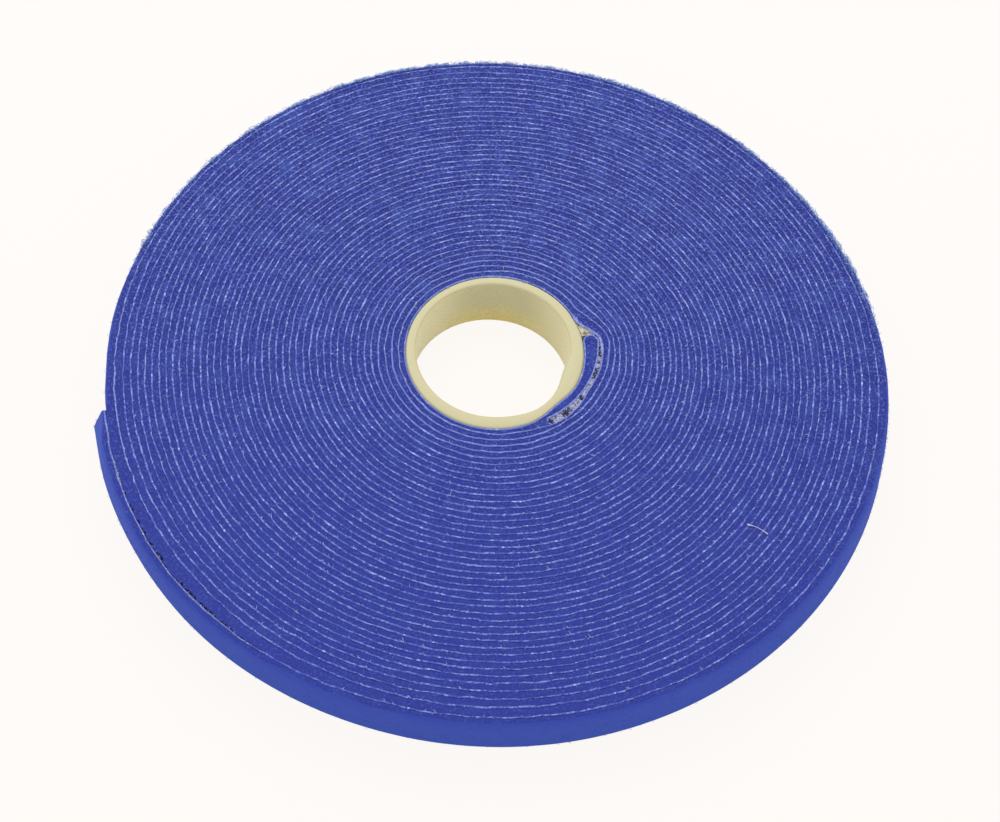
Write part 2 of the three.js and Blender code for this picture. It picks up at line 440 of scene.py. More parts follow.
def place(roll, turns, radius, height):
    """Points on the tape. Loose wraps lean out towards their bottom edge, and the free end's cut slants."""
    turns, radius, height = np.broadcast_arrays(turns, radius, height)
    down = 1 - height / roll.tape.width
    lean = sum(most * np.exp(-(((turns - at) / width) ** 2)) for most, at, width in LEANS)
    near_end = smooth(1 - tape_length(roll.tape, turns) / CUT_REACH)
    angle = tape_angle(turns) - near_end * down * CUT_SLANT / roll.tape.outer_line
    out = radius + lean * down
    return np.stack([out * np.cos(angle), out * np.sin(angle), height], -1)


# Meshes. Vertices closer than this are one, and edges sharper than the crease, in degrees, stay sharp.
RIBBON_DOUBLES = 1e-6
STRAND_DOUBLES = 1e-7
RIBBON_CREASE = 40


def deselect():
    """Nothing is selected, and no mesh is in edit mode."""
    if bpy.context.object and bpy.context.object.mode != "OBJECT":
        bpy.ops.object.mode_set(mode="OBJECT")
    bpy.ops.object.select_all(action="DESELECT")


def close_mesh(doubles):
    """In edit mode: the active mesh's doubles are merged, its holes filled and its faces turned outwards."""
    bpy.ops.object.mode_set(mode="EDIT")
    bpy.ops.mesh.select_all(action="SELECT")
    bpy.ops.mesh.remove_doubles(threshold=doubles)
    bpy.ops.mesh.fill_holes(sides=0)
    bpy.ops.mesh.select_all(action="SELECT")
    bpy.ops.mesh.normals_make_consistent(inside=False)
    bpy.ops.object.mode_set(mode="OBJECT")


def ribbon(name, rings):
    """A closed body through sections along the tape: a grid is added, rolled up lengthways and closed."""
    steps, points = rings.shape[:2]
    deselect()
    bpy.ops.mesh.primitive_grid_add(x_subdivisions=points, y_subdivisions=steps - 1)
    piece = bpy.context.object
    piece.name = piece.data.name = name
    around = np.tile(np.arange(points + 1) % points, steps)
    along = np.repeat(np.arange(steps), points + 1)
    piece.data.vertices.foreach_set("co", rings[along, around].astype(np.float32).ravel())
    piece.data.update()
    close_mesh(RIBBON_DOUBLES)
    bpy.ops.object.shade_smooth_by_angle(angle=math.radians(RIBBON_CREASE))
    return piece


def strands(name, paths, thickness, taper):
    """One mesh of thin strands: a curve with a spline for each path is given a round section."""
    curve = bpy.data.curves.new(name, "CURVE")
    curve.dimensions = "3D"
    curve.bevel_depth = thickness / 2
    curve.bevel_resolution = 0
    curve.use_fill_caps = True
    for path in paths:
        spline = curve.splines.new("POLY")
        spline.points.add(len(path) - 1)
        spline.points.foreach_set("co", np.column_stack([path, np.ones(len(path))]).ravel())
        spline.points.foreach_set("radius", taper)
    piece = bpy.data.objects.new(name, curve)
    bpy.context.collection.objects.link(piece)
    deselect()
    piece.select_set(True)
    bpy.context.view_layer.objects.active = piece
    bpy.ops.object.convert(target="MESH")
    piece = bpy.context.object
    piece.name = piece.data.name = name
    close_mesh(STRAND_DOUBLES)
    bpy.ops.object.shade_smooth()
    return piece


def finish_piece(roll, piece, material, body=None, replaces=()):
    """The piece gets its material, the CAD nodes it stands for and, where one is given, its body.

    The material comes as its function below, which is called once and has the material's own name.
    """
    piece.data.materials.clear()
    piece.data.materials.append(bpy.data.materials.get(material.__name__) or material(roll))
    if replaces:
        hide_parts(*replaces)
    if body:
        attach(piece, body)
    return piece


# Materials. Their patterns lie on the object's own coordinates and have the real sizes that are given in mm.
NOISE = "ShaderNodeTexNoise"
MIX = "ShaderNodeMix"
MATH = "ShaderNodeMath"
RANGE = "ShaderNodeMapRange"
SPLIT = "ShaderNodeSeparateXYZ"
JOIN = "ShaderNodeCombineXYZ"
COORDINATES = "ShaderNodeTexCoord"
GEOMETRY = "ShaderNodeNewGeometry"

# Settings of the nodes. A range is eased at both ends. Its inputs are the value, its range and the new one.
# A mix of colours has its share as input 0, its colours as inputs 6 and 7, and the mixed colour as output 2.
EASED = {"interpolation_type": "SMOOTHSTEP"}
COLOURS = {"data_type": "RGBA"}
PRODUCT = {"operation": "MULTIPLY"}
LARGER = {"operation": "MAXIMUM"}
MIXED = 2


def add_node(tree, kind, inputs=(), **settings):
    """Adds a node with its settings and links. Its inputs come in order, or by name or number."""
    node = tree.nodes.new(kind)
    for name, value in settings.items():
        setattr(node, name, value)
    for name, value in inputs.items() if isinstance(inputs, dict) else enumerate(inputs):
        if isinstance(value, bpy.types.Node):
            value = value.outputs[MIXED if value.bl_idname == MIX else 0]
        if isinstance(value, bpy.types.NodeSocket):
            tree.links.new(value, node.inputs[name])
        else:
            node.inputs[name].default_value = value
    return node


def new_material(name, **constants):
    """A material with its principled shader, whose constant values are set on its own sockets."""
    material = bpy.data.materials.new(name)
    material.use_nodes = True
    tree = material.node_tree
    shader = tree.nodes["Principled BSDF"]
    for socket, value in constants.items():
        shader.inputs[socket.replace("_", " ")].default_value = value
    return material, tree, shader


def rgba(colour_property):
    """A colour property as an opaque colour, as the sockets take it."""
    return (*colour_property, 1)


def grains(tree, size, detail=2.0, rough=0.5):
    """Inputs of a noise on the object's own coordinates with grains of this real size."""
    vector = add_node(tree, COORDINATES).outputs["Object"]
    return {"Vector": vector, "Scale": 1 / size, "Detail": detail, "Roughness": rough}


def brushed_nylon_loop(roll):
    """Brushed nylon loop pile: matt, with a fine grain of fibre ends and a velvety face, paler partly by its
    own colour and partly by painted light and painted sheen.

    The real fibres are some 0.03 mm thick, too fine to show, so the grain is as coarse as it needs to be.
    """
    finish = roll.finish
    pile, face, fringe = rgba(finish.pile), rgba(finish.pile_face), rgba(finish.fringe)
    material, tree, shader = new_material(
        "brushed_nylon_loop", Roughness=0.92, Sheen_Weight=0.25, Sheen_Roughness=0.5, Sheen_Tint=face
    )
    grain = add_node(tree, NOISE, grains(tree, 0.6 * MM, 3.0, 0.75))
    flecks = add_node(tree, NOISE, grains(tree, 0.9 * MM, 2.0, 0.6))
    patches = add_node(tree, NOISE, grains(tree, 7 * MM, 3.0, 0.55))
    at = add_node(tree, SPLIT, [add_node(tree, COORDINATES).outputs["Object"]]).outputs

    # Painted sheen: the face is paler where it is seen at a grazing angle, most of all low down and at the
    # back.
    grazing_sheen = add_node(tree, "ShaderNodeLayerWeight", {"Blend": 0.5}).outputs["Facing"]
    grazing_sheen = add_node(tree, RANGE, [grazing_sheen, 0.5, 1.0, 0.2, 0.55], **EASED)
    low = add_node(tree, RANGE, [at["Z"], 18 * MM, 0.0, 0.1, 0.8], **EASED)
    far_back = add_node(tree, RANGE, [at["Y"], 20 * MM, 110 * MM, 0.0, 0.8], **EASED)
    paler = add_node(tree, MATH, [low, far_back], **LARGER)
    paler = add_node(tree, MATH, [grazing_sheen, paler], **PRODUCT)
    face = add_node(tree, MIX, {0: paler, 6: face, 7: fringe}, **COLOURS)

    # The cut edge, which faces up, has painted shade in the hollows between its fibres, and pale flecks,
    # both fewer in front.
    # The face is paler than the cut edge partly by its own colour and partly by painted light, which makes
    # up for the lesser light on the side.
    facing_up = add_node(tree, SPLIT, [add_node(tree, GEOMETRY).outputs["Normal"]]).outputs["Z"]
    on_edge = add_node(tree, RANGE, [facing_up, 0.75, 0.995], **EASED)
    tone = add_node(tree, MIX, {0: on_edge, 6: face, 7: pile}, **COLOURS)
    at_back = add_node(tree, RANGE, [at["Y"], -110 * MM, 70 * MM, 0.3, 1.0], **EASED)
    brushed = add_node(tree, MATH, [on_edge, at_back], **PRODUCT)
    fibre_shade = add_node(tree, RANGE, [grain, 0.64, 0.42], **EASED)
    fibre_shade = add_node(tree, MATH, [fibre_shade, brushed], **PRODUCT)
    tone = add_node(tree, MIX, {0: fibre_shade, 6: tone, 7: rgba(finish.pile_deep)}, **COLOURS)
    fleck = add_node(tree, RANGE, [flecks, 0.54, 0.63, 0.0, 0.75], **EASED)
    fleck = add_node(tree, MATH, [fleck, brushed], **PRODUCT)
    tone = add_node(tree, MIX, {0: fleck, 6: tone, 7: rgba(finish.loop)}, **COLOURS)

    # Some patches are brushed flat.
    flat = add_node(tree, RANGE, [patches, 0.45, 0.75, 0.0, 0.32], **EASED)
    flat = add_node(tree, MATH, [flat, at_back], **PRODUCT)
    tone = add_node(tree, MIX, {0: flat, 6: tone, 7: rgba(finish.pile_patch)}, **COLOURS)
    tree.links.new(tone.outputs[MIXED], shader.inputs["Base Color"])
    relief = add_node(tree, "ShaderNodeBump", {"Height": grain, "Distance": 0.25 * MM, "Strength": 0.6})
    tree.links.new(relief.outputs["Normal"], shader.inputs["Normal"])
    return material


def toned_strands(name, dark, pale, **constants):
    """A material whose single strands each have their own tone between two colours."""
    material, tree, shader = new_material(name, **constants)
    own = add_node(tree, GEOMETRY).outputs["Random Per Island"]
    tone = add_node(tree, MIX, {0: own, 6: rgba(dark), 7: rgba(pale)}, **COLOURS)
    tree.links.new(tone.outputs[MIXED], shader.inputs["Base Color"])
    return material


def single_nylon_loops(roll):
    """Single nylon fibres that stand up from the pile: from the painted shade between its fibres to its
    palest loops.
    """
    dark, pale = roll.finish.pile_deep, roll.finish.loop
    return toned_strands("single_nylon_loops", dark, pale, Roughness=0.7, Sheen_Weight=0.2)


def flat_nylon_loops(roll):
    """Single nylon fibres that lie flat on the brushed face: hardly paler than it."""
    dark, pale = roll.finish.pile_face, roll.finish.pile_patch
    return toned_strands("flat_nylon_loops", dark, pale, Roughness=0.7, Sheen_Weight=0.2)


def upright_nylon_loops(roll):
    """Single nylon fibres that stand out from the shoulder against the light: paler than the pile, with
    painted light through them.
    """
    dark, pale = roll.finish.fringe, roll.finish.fringe_lit
    return toned_strands("upright_nylon_loops", dark, pale, Roughness=0.6, Sheen_Weight=0.4)


def drawn_nylon_thread(roll):
    """Drawn nylon thread: pale and smooth."""
    return toned_strands("drawn_nylon_thread", roll.finish.film, roll.finish.thread, Roughness=0.5)


def bleached_nylon_thread(roll):
    """Bleached nylon thread: nearly white."""
    tone = rgba(roll.finish.thread_bleached)
    return new_material("bleached_nylon_thread", Roughness=0.5, Base_Color=tone)[0]


def frayed_nylon_film(roll):
    """Frayed nylon film: pale shreds, some of them nearly as blue as the pile."""
    return toned_strands("frayed_nylon_film", roll.finish.loop, roll.finish.thread, Roughness=0.5)


def moulded_nylon_hooks(roll):
    """Moulded nylon hooks: small glossy stems in the unbleached plastic's colour, each with its own tone
    between painted shade and that colour.
    """
    dark, pale = roll.finish.hook_shade, roll.finish.hook
    return toned_strands("moulded_nylon_hooks", dark, pale, Roughness=0.35, IOR=1.53)


def pale_nylon_hooks(roll):
    """The same hooks where they catch the light: from the worn field's tone to nearly white."""
    dark, pale = roll.finish.field, roll.finish.hook_lit
    return toned_strands("pale_nylon_hooks", dark, pale, Roughness=0.35, IOR=1.53)


def hook_field(name, dark, pale):
    """A dense field of moulded nylon hooks seen from its side: mottled from painted shade in its gaps to
    pale stems.
    """
    material, tree, shader = new_material(name, Roughness=0.5)
    stems = add_node(tree, NOISE, grains(tree, 0.9 * MM, 3.0, 0.6))
    stems = add_node(tree, RANGE, [stems, 0.36, 0.58], **EASED)
    tone = add_node(tree, MIX, {0: stems, 6: rgba(dark), 7: rgba(pale)}, **COLOURS)
    tree.links.new(tone.outputs[MIXED], shader.inputs["Base Color"])
    return material


def worn_nylon_hooks(roll):
    """The field of hooks beside the fold: worn, with blue showing through."""
    return hook_field("worn_nylon_hooks", roll.finish.field_deep, roll.finish.field)


def clean_nylon_hooks(roll):
    """The field of hooks ahead of the fold's nose: clean, in the hooks' own colour, with painted shade in
    its gaps.
    """
    return hook_field("clean_nylon_hooks", roll.finish.hook_shade, roll.finish.hook)


def cast_film(name, finish, least):
    """Cast nylon film: pale where its cut edge is clean, and blue where fibres lie over it.

    It is clean in beads, in longer stretches and near the core, less so in front, and has a few glints.
    """
    material, tree, shader = new_material(name, Roughness=0.5, Specular_IOR_Level=0.2)
    beads = add_node(tree, NOISE, grains(tree, 1.1 * MM, 2.0, 0.6))
    beads = add_node(tree, RANGE, [beads, 0.4, 0.62, least, 1.0], **EASED)
    stretches = add_node(tree, NOISE, grains(tree, 5 * MM, 3.0, 0.6))
    stretches = add_node(tree, RANGE, [stretches, 0.36, 0.62, 1.5 * least, 1.0], **EASED)
    clean = add_node(tree, MATH, [beads, stretches], **PRODUCT)
    at = add_node(tree, SPLIT, [add_node(tree, COORDINATES).outputs["Object"]]).outputs
    from_axis = add_node(tree, JOIN, [at["X"], at["Y"]])
    from_axis = add_node(tree, "ShaderNodeVectorMath", [from_axis], operation="LENGTH").outputs["Value"]
    near_core = add_node(tree, RANGE, [from_axis, 52 * MM, 34 * MM, 0.0, 0.5], **EASED)
    clean = add_node(tree, MATH, [clean, near_core], **LARGER)
    in_front = add_node(tree, RANGE, [at["Y"], -30 * MM, -120 * MM, 1.0, 0.78], **EASED)
    clean = add_node(tree, MATH, [clean, in_front], **PRODUCT)
    tone = add_node(tree, MIX, {0: clean, 6: rgba(finish.film_worn), 7: rgba(finish.film)}, **COLOURS)
    glints = add_node(tree, NOISE, grains(tree, 1.3 * MM, 1.0, 0.5))
    glints = add_node(tree, RANGE, [glints, 0.67, 0.75, 0.0, 0.9], **EASED)
    tone = add_node(tree, MIX, {0: glints, 6: tone, 7: rgba(finish.glint)}, **COLOURS)
    tree.links.new(tone.outputs[MIXED], shader.inputs["Base Color"])
    return material


def cast_nylon_film(roll):
    """Cast nylon film in the winding, where the wraps' fibres cover much of its edge."""
    return cast_film("cast_nylon_film", roll.finish, 0.16)


def clean_nylon_film(roll):
    """Cast nylon film at the free end and the fold, where fewer fibres cover it."""
    return cast_film("clean_nylon_film", roll.finish, 0.45)


def moulded_polypropylene(roll):
    """Moulded polypropylene: satin, faintly mottled, and in the bore with a crossed texture.

    The texture is finer on the real core. Here it is as coarse as it needs to be to show.
    """
    finish, core, width = roll.finish, roll.core, roll.tape.width
    material, tree, shader = new_material(
        "moulded_polypropylene", Roughness=0.42, IOR=1.49, Subsurface_Weight=0.15, Subsurface_Scale=4 * MM
    )
    at = add_node(tree, SPLIT, [add_node(tree, COORDINATES).outputs["Object"]]).outputs
    normal = add_node(tree, SPLIT, [add_node(tree, GEOMETRY).outputs["Normal"]]).outputs
    on_rim = add_node(tree, RANGE, [normal["Z"], 0.15, 0.9], **EASED)

    # Painted light and shade in the bore: yellower towards its foot and paler at its thin sides, where light
    # comes through, and greyer higher up.
    height = add_node(tree, RANGE, [at["Z"], 0.05 * width, 0.6 * width], **EASED)
    bore = add_node(tree, MIX, {0: height, 6: rgba(finish.core_foot), 7: rgba(finish.core_shade)}, **COLOURS)
    mottle = add_node(tree, NOISE, grains(tree, 1.2 * MM, 3.0, 0.7))
    mottle = add_node(tree, RANGE, [mottle, 0.4, 0.62, 0.0, 0.5], **EASED)
    bore = add_node(tree, MIX, {0: mottle, 6: bore, 7: rgba(finish.core)}, **COLOURS)
    # Painted light: paler where the bore's wall faces sideways
    sideways = add_node(tree, MATH, [normal["X"]], operation="ABSOLUTE")
    sideways = add_node(tree, RANGE, [sideways, 0.25, 0.95], **EASED)
    bore = add_node(tree, MIX, {0: sideways, 6: bore, 7: rgba(finish.core_side)}, **COLOURS)
    tone = add_node(tree, MIX, {0: on_rim, 6: bore, 7: rgba(finish.core)}, **COLOURS)
    tree.links.new(tone.outputs[MIXED], shader.inputs["Base Color"])

    # The texture's two sets of ridges run askew around the bore and up it.
    around = add_node(tree, MATH, [at["Y"], at["X"]], operation="ARCTAN2")
    arc = add_node(tree, MATH, [around, core.radius - core.wall], **PRODUCT)
    flat = add_node(tree, JOIN, [arc, at["Z"]])
    ridges = []
    for slant in (math.radians(45), math.radians(-45)):
        turned = add_node(tree, "ShaderNodeMapping", {"Vector": flat, "Rotation": (0, 0, slant)})
        inputs = {"Vector": turned, "Scale": 2 / (1.2 * MM * TURN)}
        ridges.append(add_node(tree, "ShaderNodeTexWave", inputs, bands_direction="X").outputs["Fac"])
    crossed = add_node(tree, MATH, ridges, **PRODUCT)
    in_bore = add_node(tree, MATH, [1.0, on_rim], operation="SUBTRACT")
    crossed = add_node(tree, MATH, [crossed, in_bore], **PRODUCT)
    relief = add_node(tree, "ShaderNodeBump", {"Height": crossed, "Distance": 0.14 * MM, "Strength": 0.8})
    tree.links.new(relief.outputs["Normal"], shader.inputs["Normal"])
    return material


# Pieces


def sections(tape, first, last, step):
    """Turns at even lengths along the tape, from first to last."""
    low, high = tape_length(tape, first), tape_length(tape, last)
    return turns_at(tape, np.linspace(low, high, max(2, round((high - low) / step) + 1)))


# The film's thickness as a share of its size, how much it varies, and how far its edge stands proud
FILM_SHARE = 1.05
FILM_VARIES = 0.3
FILM_PROUD = 0.07 * MM


def film_rings(roll, turns):
    """Sections of the film: a thin strip on edge whose top edge stands a little proud."""
    tape = roll.tape
    half = tape.film / 2 * (FILM_SHARE + FILM_VARIES * drift(tape, turns, FILM_DRIFT_LENGTH, SEEDS["film"]))
    middle = film_radius(roll, turns)
    top = edge_height(roll, turns) + FILM_PROUD * (1 + drift(tape, turns, RIPPLE_LENGTH, SEEDS["film edge"]))
    foot = np.zeros_like(top)
    radius = np.stack([middle - half, middle + half, middle + half, middle - half], 1)
    height = np.stack([foot, foot, top, top], 1)
    return place(roll, turns[:, None], radius, height)


# Section of a pressed pile: share of its thickness from the film outwards, and depth below the edge.
# It is bonded to its film and falls away towards the hooks of the next wrap out. Only its top is ragged.
PRESSED_TOP = [
    (1.0, 2.5 * MM),
    (1.0, 0.07 * MM),
    (0.92, 0.05 * MM),
    (0.7, 0.05 * MM),
    (0.4, 0.0),
    (0.15, 0.03 * MM),
    (0.0, 0.1 * MM),
]
PRESSED_FOOT = [(0.0, 0.05 * MM), (0.3, 0.0), (0.8, 0.1 * MM), (1.0, 0.4 * MM)]
RAGGED_DEPTH = 2 * MM

# Section of the free pile of the outermost wrap, with a rounded shoulder and a slightly bowed face
FREE_TOP = [
    (0.985, 4.0 * MM),
    (0.95, 2.2 * MM),
    (0.88, 1.1 * MM),
    (0.76, 0.45 * MM),
    (0.6, 0.16 * MM),
    (0.35, 0.0),
    (0.12, 0.04 * MM),
    (0.0, 0.12 * MM),
]
FREE_FOOT = [(0.0, 0.05 * MM), (0.35, 0.0), (0.7, 0.12 * MM), (0.9, 0.5 * MM), (0.98, 1.2 * MM)]
FACE_ROWS = 9

# Unevenness of the pile's face and top edge: size and length along the tape
FACE_BUMP = 0.06 * MM
FACE_BUMP_LENGTH = 3.5 * MM
EDGE_BUMP = 0.11 * MM
EDGE_BUMP_LENGTH = 2.6 * MM


def pile_rings(roll, turns, top_shape, foot_shape, face_rows=0):
    """Sections of the pile, counted from the film's foot outwards, up the face and back over the top."""
    tape = roll.tape
    inside, outside = pile_radii(roll, turns)
    face = pile_radii(roll, turns, ragged=False)[1]
    top = edge_height(roll, turns)
    radius, height = [], []
    for share, rise in foot_shape:
        radius.append(inside + (face - inside) * share)
        height.append(np.full_like(top, rise))
    face_foot, face_top = foot_shape[-1][1], top - top_shape[0][1]
    for row in range(face_rows):
        radius.append(face + FACE_BUMP * drift(tape, turns, FACE_BUMP_LENGTH, SEEDS["pile face"] + row))
        height.append(face_foot + (face_top - face_foot) * (row + 1) / (face_rows + 1))
    for i, (share, drop) in enumerate(top_shape):
        bump = EDGE_BUMP * drift(tape, turns, EDGE_BUMP_LENGTH, SEEDS["pile edge"] + i)
        reach = (face if drop > RAGGED_DEPTH else outside) - inside
        aside = 0 if share in (0.0, 1.0) else bump / 2
        radius.append(inside + reach * share + aside)
        height.append(top - drop + bump)
    radius, height = np.stack(radius, 1), np.stack(height, 1)
    pinch = CUT_PINCH * np.exp(-((tape_length(tape, turns) / CUT_PINCH_REACH) ** 2))
    radius = inside[:, None] + (radius - inside[:, None]) * (1 - pinch[:, None] * height / tape.width)
    return place(roll, turns[:, None], radius, height)


# The free end in stretches: each lies over one hinge, and the last one rides on the last body.
SEGMENT_TURNS = SEGMENT_ANGLE / TURN
TAIL_TURNS = SEGMENT_TURNS * len(JOINTS)
TAIL_ROOT = TAIL_TURNS + SEGMENT_TURNS / 2
TAIL_STEP = 1 * MM
STRETCHES = range(len(JOINTS) + 1)
WINDING_END = TURNS - (FOLD_ANGLE - FOLD_TIP_ANGLE) / TURN
OUTER_WRAP_END = 1.0
HALF_WAY = 17


def tail_stretch(index):
    """The turns where a stretch of the free end starts and stops, from the winding outwards."""
    start = TAIL_ROOT - index * SEGMENT_TURNS
    return start, max(start - SEGMENT_TURNS, 0)


def follow_tail(piece, index):
    """A stretch of the free end rides on the last body if it is the last one, and otherwise keeps its place.
    """
    if index == len(JOINTS):
        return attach(piece, TAIL_BODIES[index])
    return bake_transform(piece)


def tail_nodes(index, ply):
    """The CAD nodes that a stretch of the free end stands for."""
    return [f"{TAIL_BODIES[index]}_{ply}"] if index else []


def roll_settings(context):
    """The roll's settings, for an operator that starts with nothing selected."""
    deselect()
    return context.scene.tape_roll


# Steps of the core's spin and of its rounded edges, and the crease in degrees that stays sharp
CORE_STEPS = 180
CORE_ROUNDING_STEPS = 4
CORE_CREASE = 35


class TAPEROLL_OT_core(bpy.types.Operator):
    """Spins the core tube from its rounded section, and dents it and its bore."""

    bl_idname = "taperoll.core"
    bl_label = "Core tube"
    bl_options = {"REGISTER", "UNDO"}

    def execute(self, context):
        roll = roll_settings(context)
        core, width = roll.core, roll.tape.width
        centre = (core.radius - core.wall / 2, 0, width / 2)
        bpy.ops.mesh.primitive_plane_add(size=1, location=centre, rotation=(math.pi / 2, 0, 0))
        piece = bpy.context.object
        piece.name = piece.data.name = "core_shell"
        piece.scale = (core.wall, width, 1)
        bpy.ops.object.transform_apply(location=True, rotation=True, scale=True)
        bpy.ops.object.mode_set(mode="EDIT")
        bpy.ops.mesh.select_all(action="SELECT")
        bpy.ops.mesh.bevel(offset=core.rounding, segments=CORE_ROUNDING_STEPS, affect="VERTICES")
        bpy.ops.mesh.select_all(action="SELECT")
        bpy.ops.mesh.delete(type="ONLY_FACE")
        bpy.ops.mesh.select_all(action="SELECT")
        bpy.ops.mesh.spin(steps=CORE_STEPS, angle=TURN, center=(0, 0, 0), axis=(0, 0, 1))
        close_mesh(RIBBON_DOUBLES)
        for vertex in piece.data.vertices:
            x, y, z = vertex.co
            inwards = (core.radius - math.hypot(x, y)) / core.wall
            down = 1 - z / width
            angle = math.atan2(y, x)
            dented = 1 + (core_edge(roll, angle) / core.radius - 1) * (1 - inwards)
            pushed = -BORE_FOOT_WIDER * down * math.cos(angle) ** 2
            for most, at, push_width in BORE_PUSHES:
                pushed += most * math.exp(-(((angle - at) / push_width) ** 2))
            out = dented * (1 - inwards * pushed / core.radius)
            vertex.co.x = x * out + inwards * (BORE_TOP_X + (BORE_FOOT_X - BORE_TOP_X) * down)
            vertex.co.y = y * out + inwards * (BORE_TOP_Y + (BORE_FOOT_Y - BORE_TOP_Y) * down)
        bpy.ops.object.shade_smooth_by_angle(angle=math.radians(CORE_CREASE))
        finish_piece(roll, piece, moulded_polypropylene, "roll", ["core_tube"])
        return {"FINISHED"}


class TAPEROLL_OT_winding_film(bpy.types.Operator):
    """Winds the hook film from the free end's root to the folded start."""

    bl_idname = "taperoll.winding_film"
    bl_label = "Wound film"
    bl_options = {"REGISTER", "UNDO"}

    def execute(self, context):
        roll = roll_settings(context)
        turns = sections(roll.tape, TAIL_ROOT, WINDING_END, roll.tape.film_step)
        piece = ribbon("wound_film", film_rings(roll, turns))
        finish_piece(roll, piece, cast_nylon_film, "roll", ["winding_hook_film"])
        return {"FINISHED"}


class TAPEROLL_OT_winding_pile(bpy.types.Operator):
    """Winds the loop pile: the outermost wrap with its free face, and the pressed wraps in two lengths."""

    bl_idname = "taperoll.winding_pile"
    bl_label = "Wound pile"
    bl_options = {"REGISTER", "UNDO"}

    def execute(self, context):
        roll = roll_settings(context)
        free, pressed = (FREE_TOP, FREE_FOOT, FACE_ROWS), (PRESSED_TOP, PRESSED_FOOT)
        for name, first, last, shape, nodes in (
            ("wound_pile_outer_wrap", TAIL_ROOT, OUTER_WRAP_END, free, ["winding_loop_fabric"]),
            ("wound_pile_outer_half", OUTER_WRAP_END, HALF_WAY, pressed, []),
            ("wound_pile_inner_half", HALF_WAY, WINDING_END, pressed, []),
        ):
            turns = sections(roll.tape, first, last, roll.tape.step)
            piece = ribbon(name, pile_rings(roll, turns, *shape))
            finish_piece(roll, piece, brushed_nylon_loop, "roll", nodes)
        return {"FINISHED"}


# The folded start: steps along each leg and round the nose, the share of the nose that the pile reaches
# into, and a slight wave of its film's edge
LEG_STEPS = 44
NOSE_STEPS = 18
NOSE_PILE_STEPS = 14
NOSE_FILLED = 0.995
FOLD_WAVE = 0.05 * MM
FOLD_WAVE_STEP = 0.9

# Section of the pile inside the fold: shares of its half thickness, and rise above its foot and its top edge
FOLD_FOOT = [(-1, 0.05 * MM), (1, 0.05 * MM)]
FOLD_TOP = [
    (1, -0.15 * MM),
    (0.6, -0.03 * MM),
    (0.12, -0.02 * MM),
    (0, -0.2 * MM),
    (-0.12, -0.02 * MM),
    (-0.6, -0.03 * MM),
    (-1, -0.15 * MM),
]


def fold_outer_radius(roll, angle):
    """Outer radius of the folded start, which thins from its nose to its tip."""
    share = np.clip((angle - FOLD_TIP_ANGLE) / (FOLD_ANGLE - FOLD_TIP_ANGLE), 0, 1)
    return roll.core.radius + FOLD_TIP + (FOLD_NOSE - FOLD_TIP) * share**FOLD_TAPER


def upright(points, inward, half, top):
    """Sections of a strip on edge along a line in plan, given with the line's normals."""
    rings = []
    for side, height in ((-half, 0.0), (half, 0.0), (half, top), (-half, top)):
        rings.append(np.column_stack([points + inward * side, np.full(len(points), height)]))
    return np.stack(rings, 1)


def on_circle(radius, angles):
    """Points in plan at these angles."""
    return np.column_stack([radius * np.cos(angles), radius * np.sin(angles)])


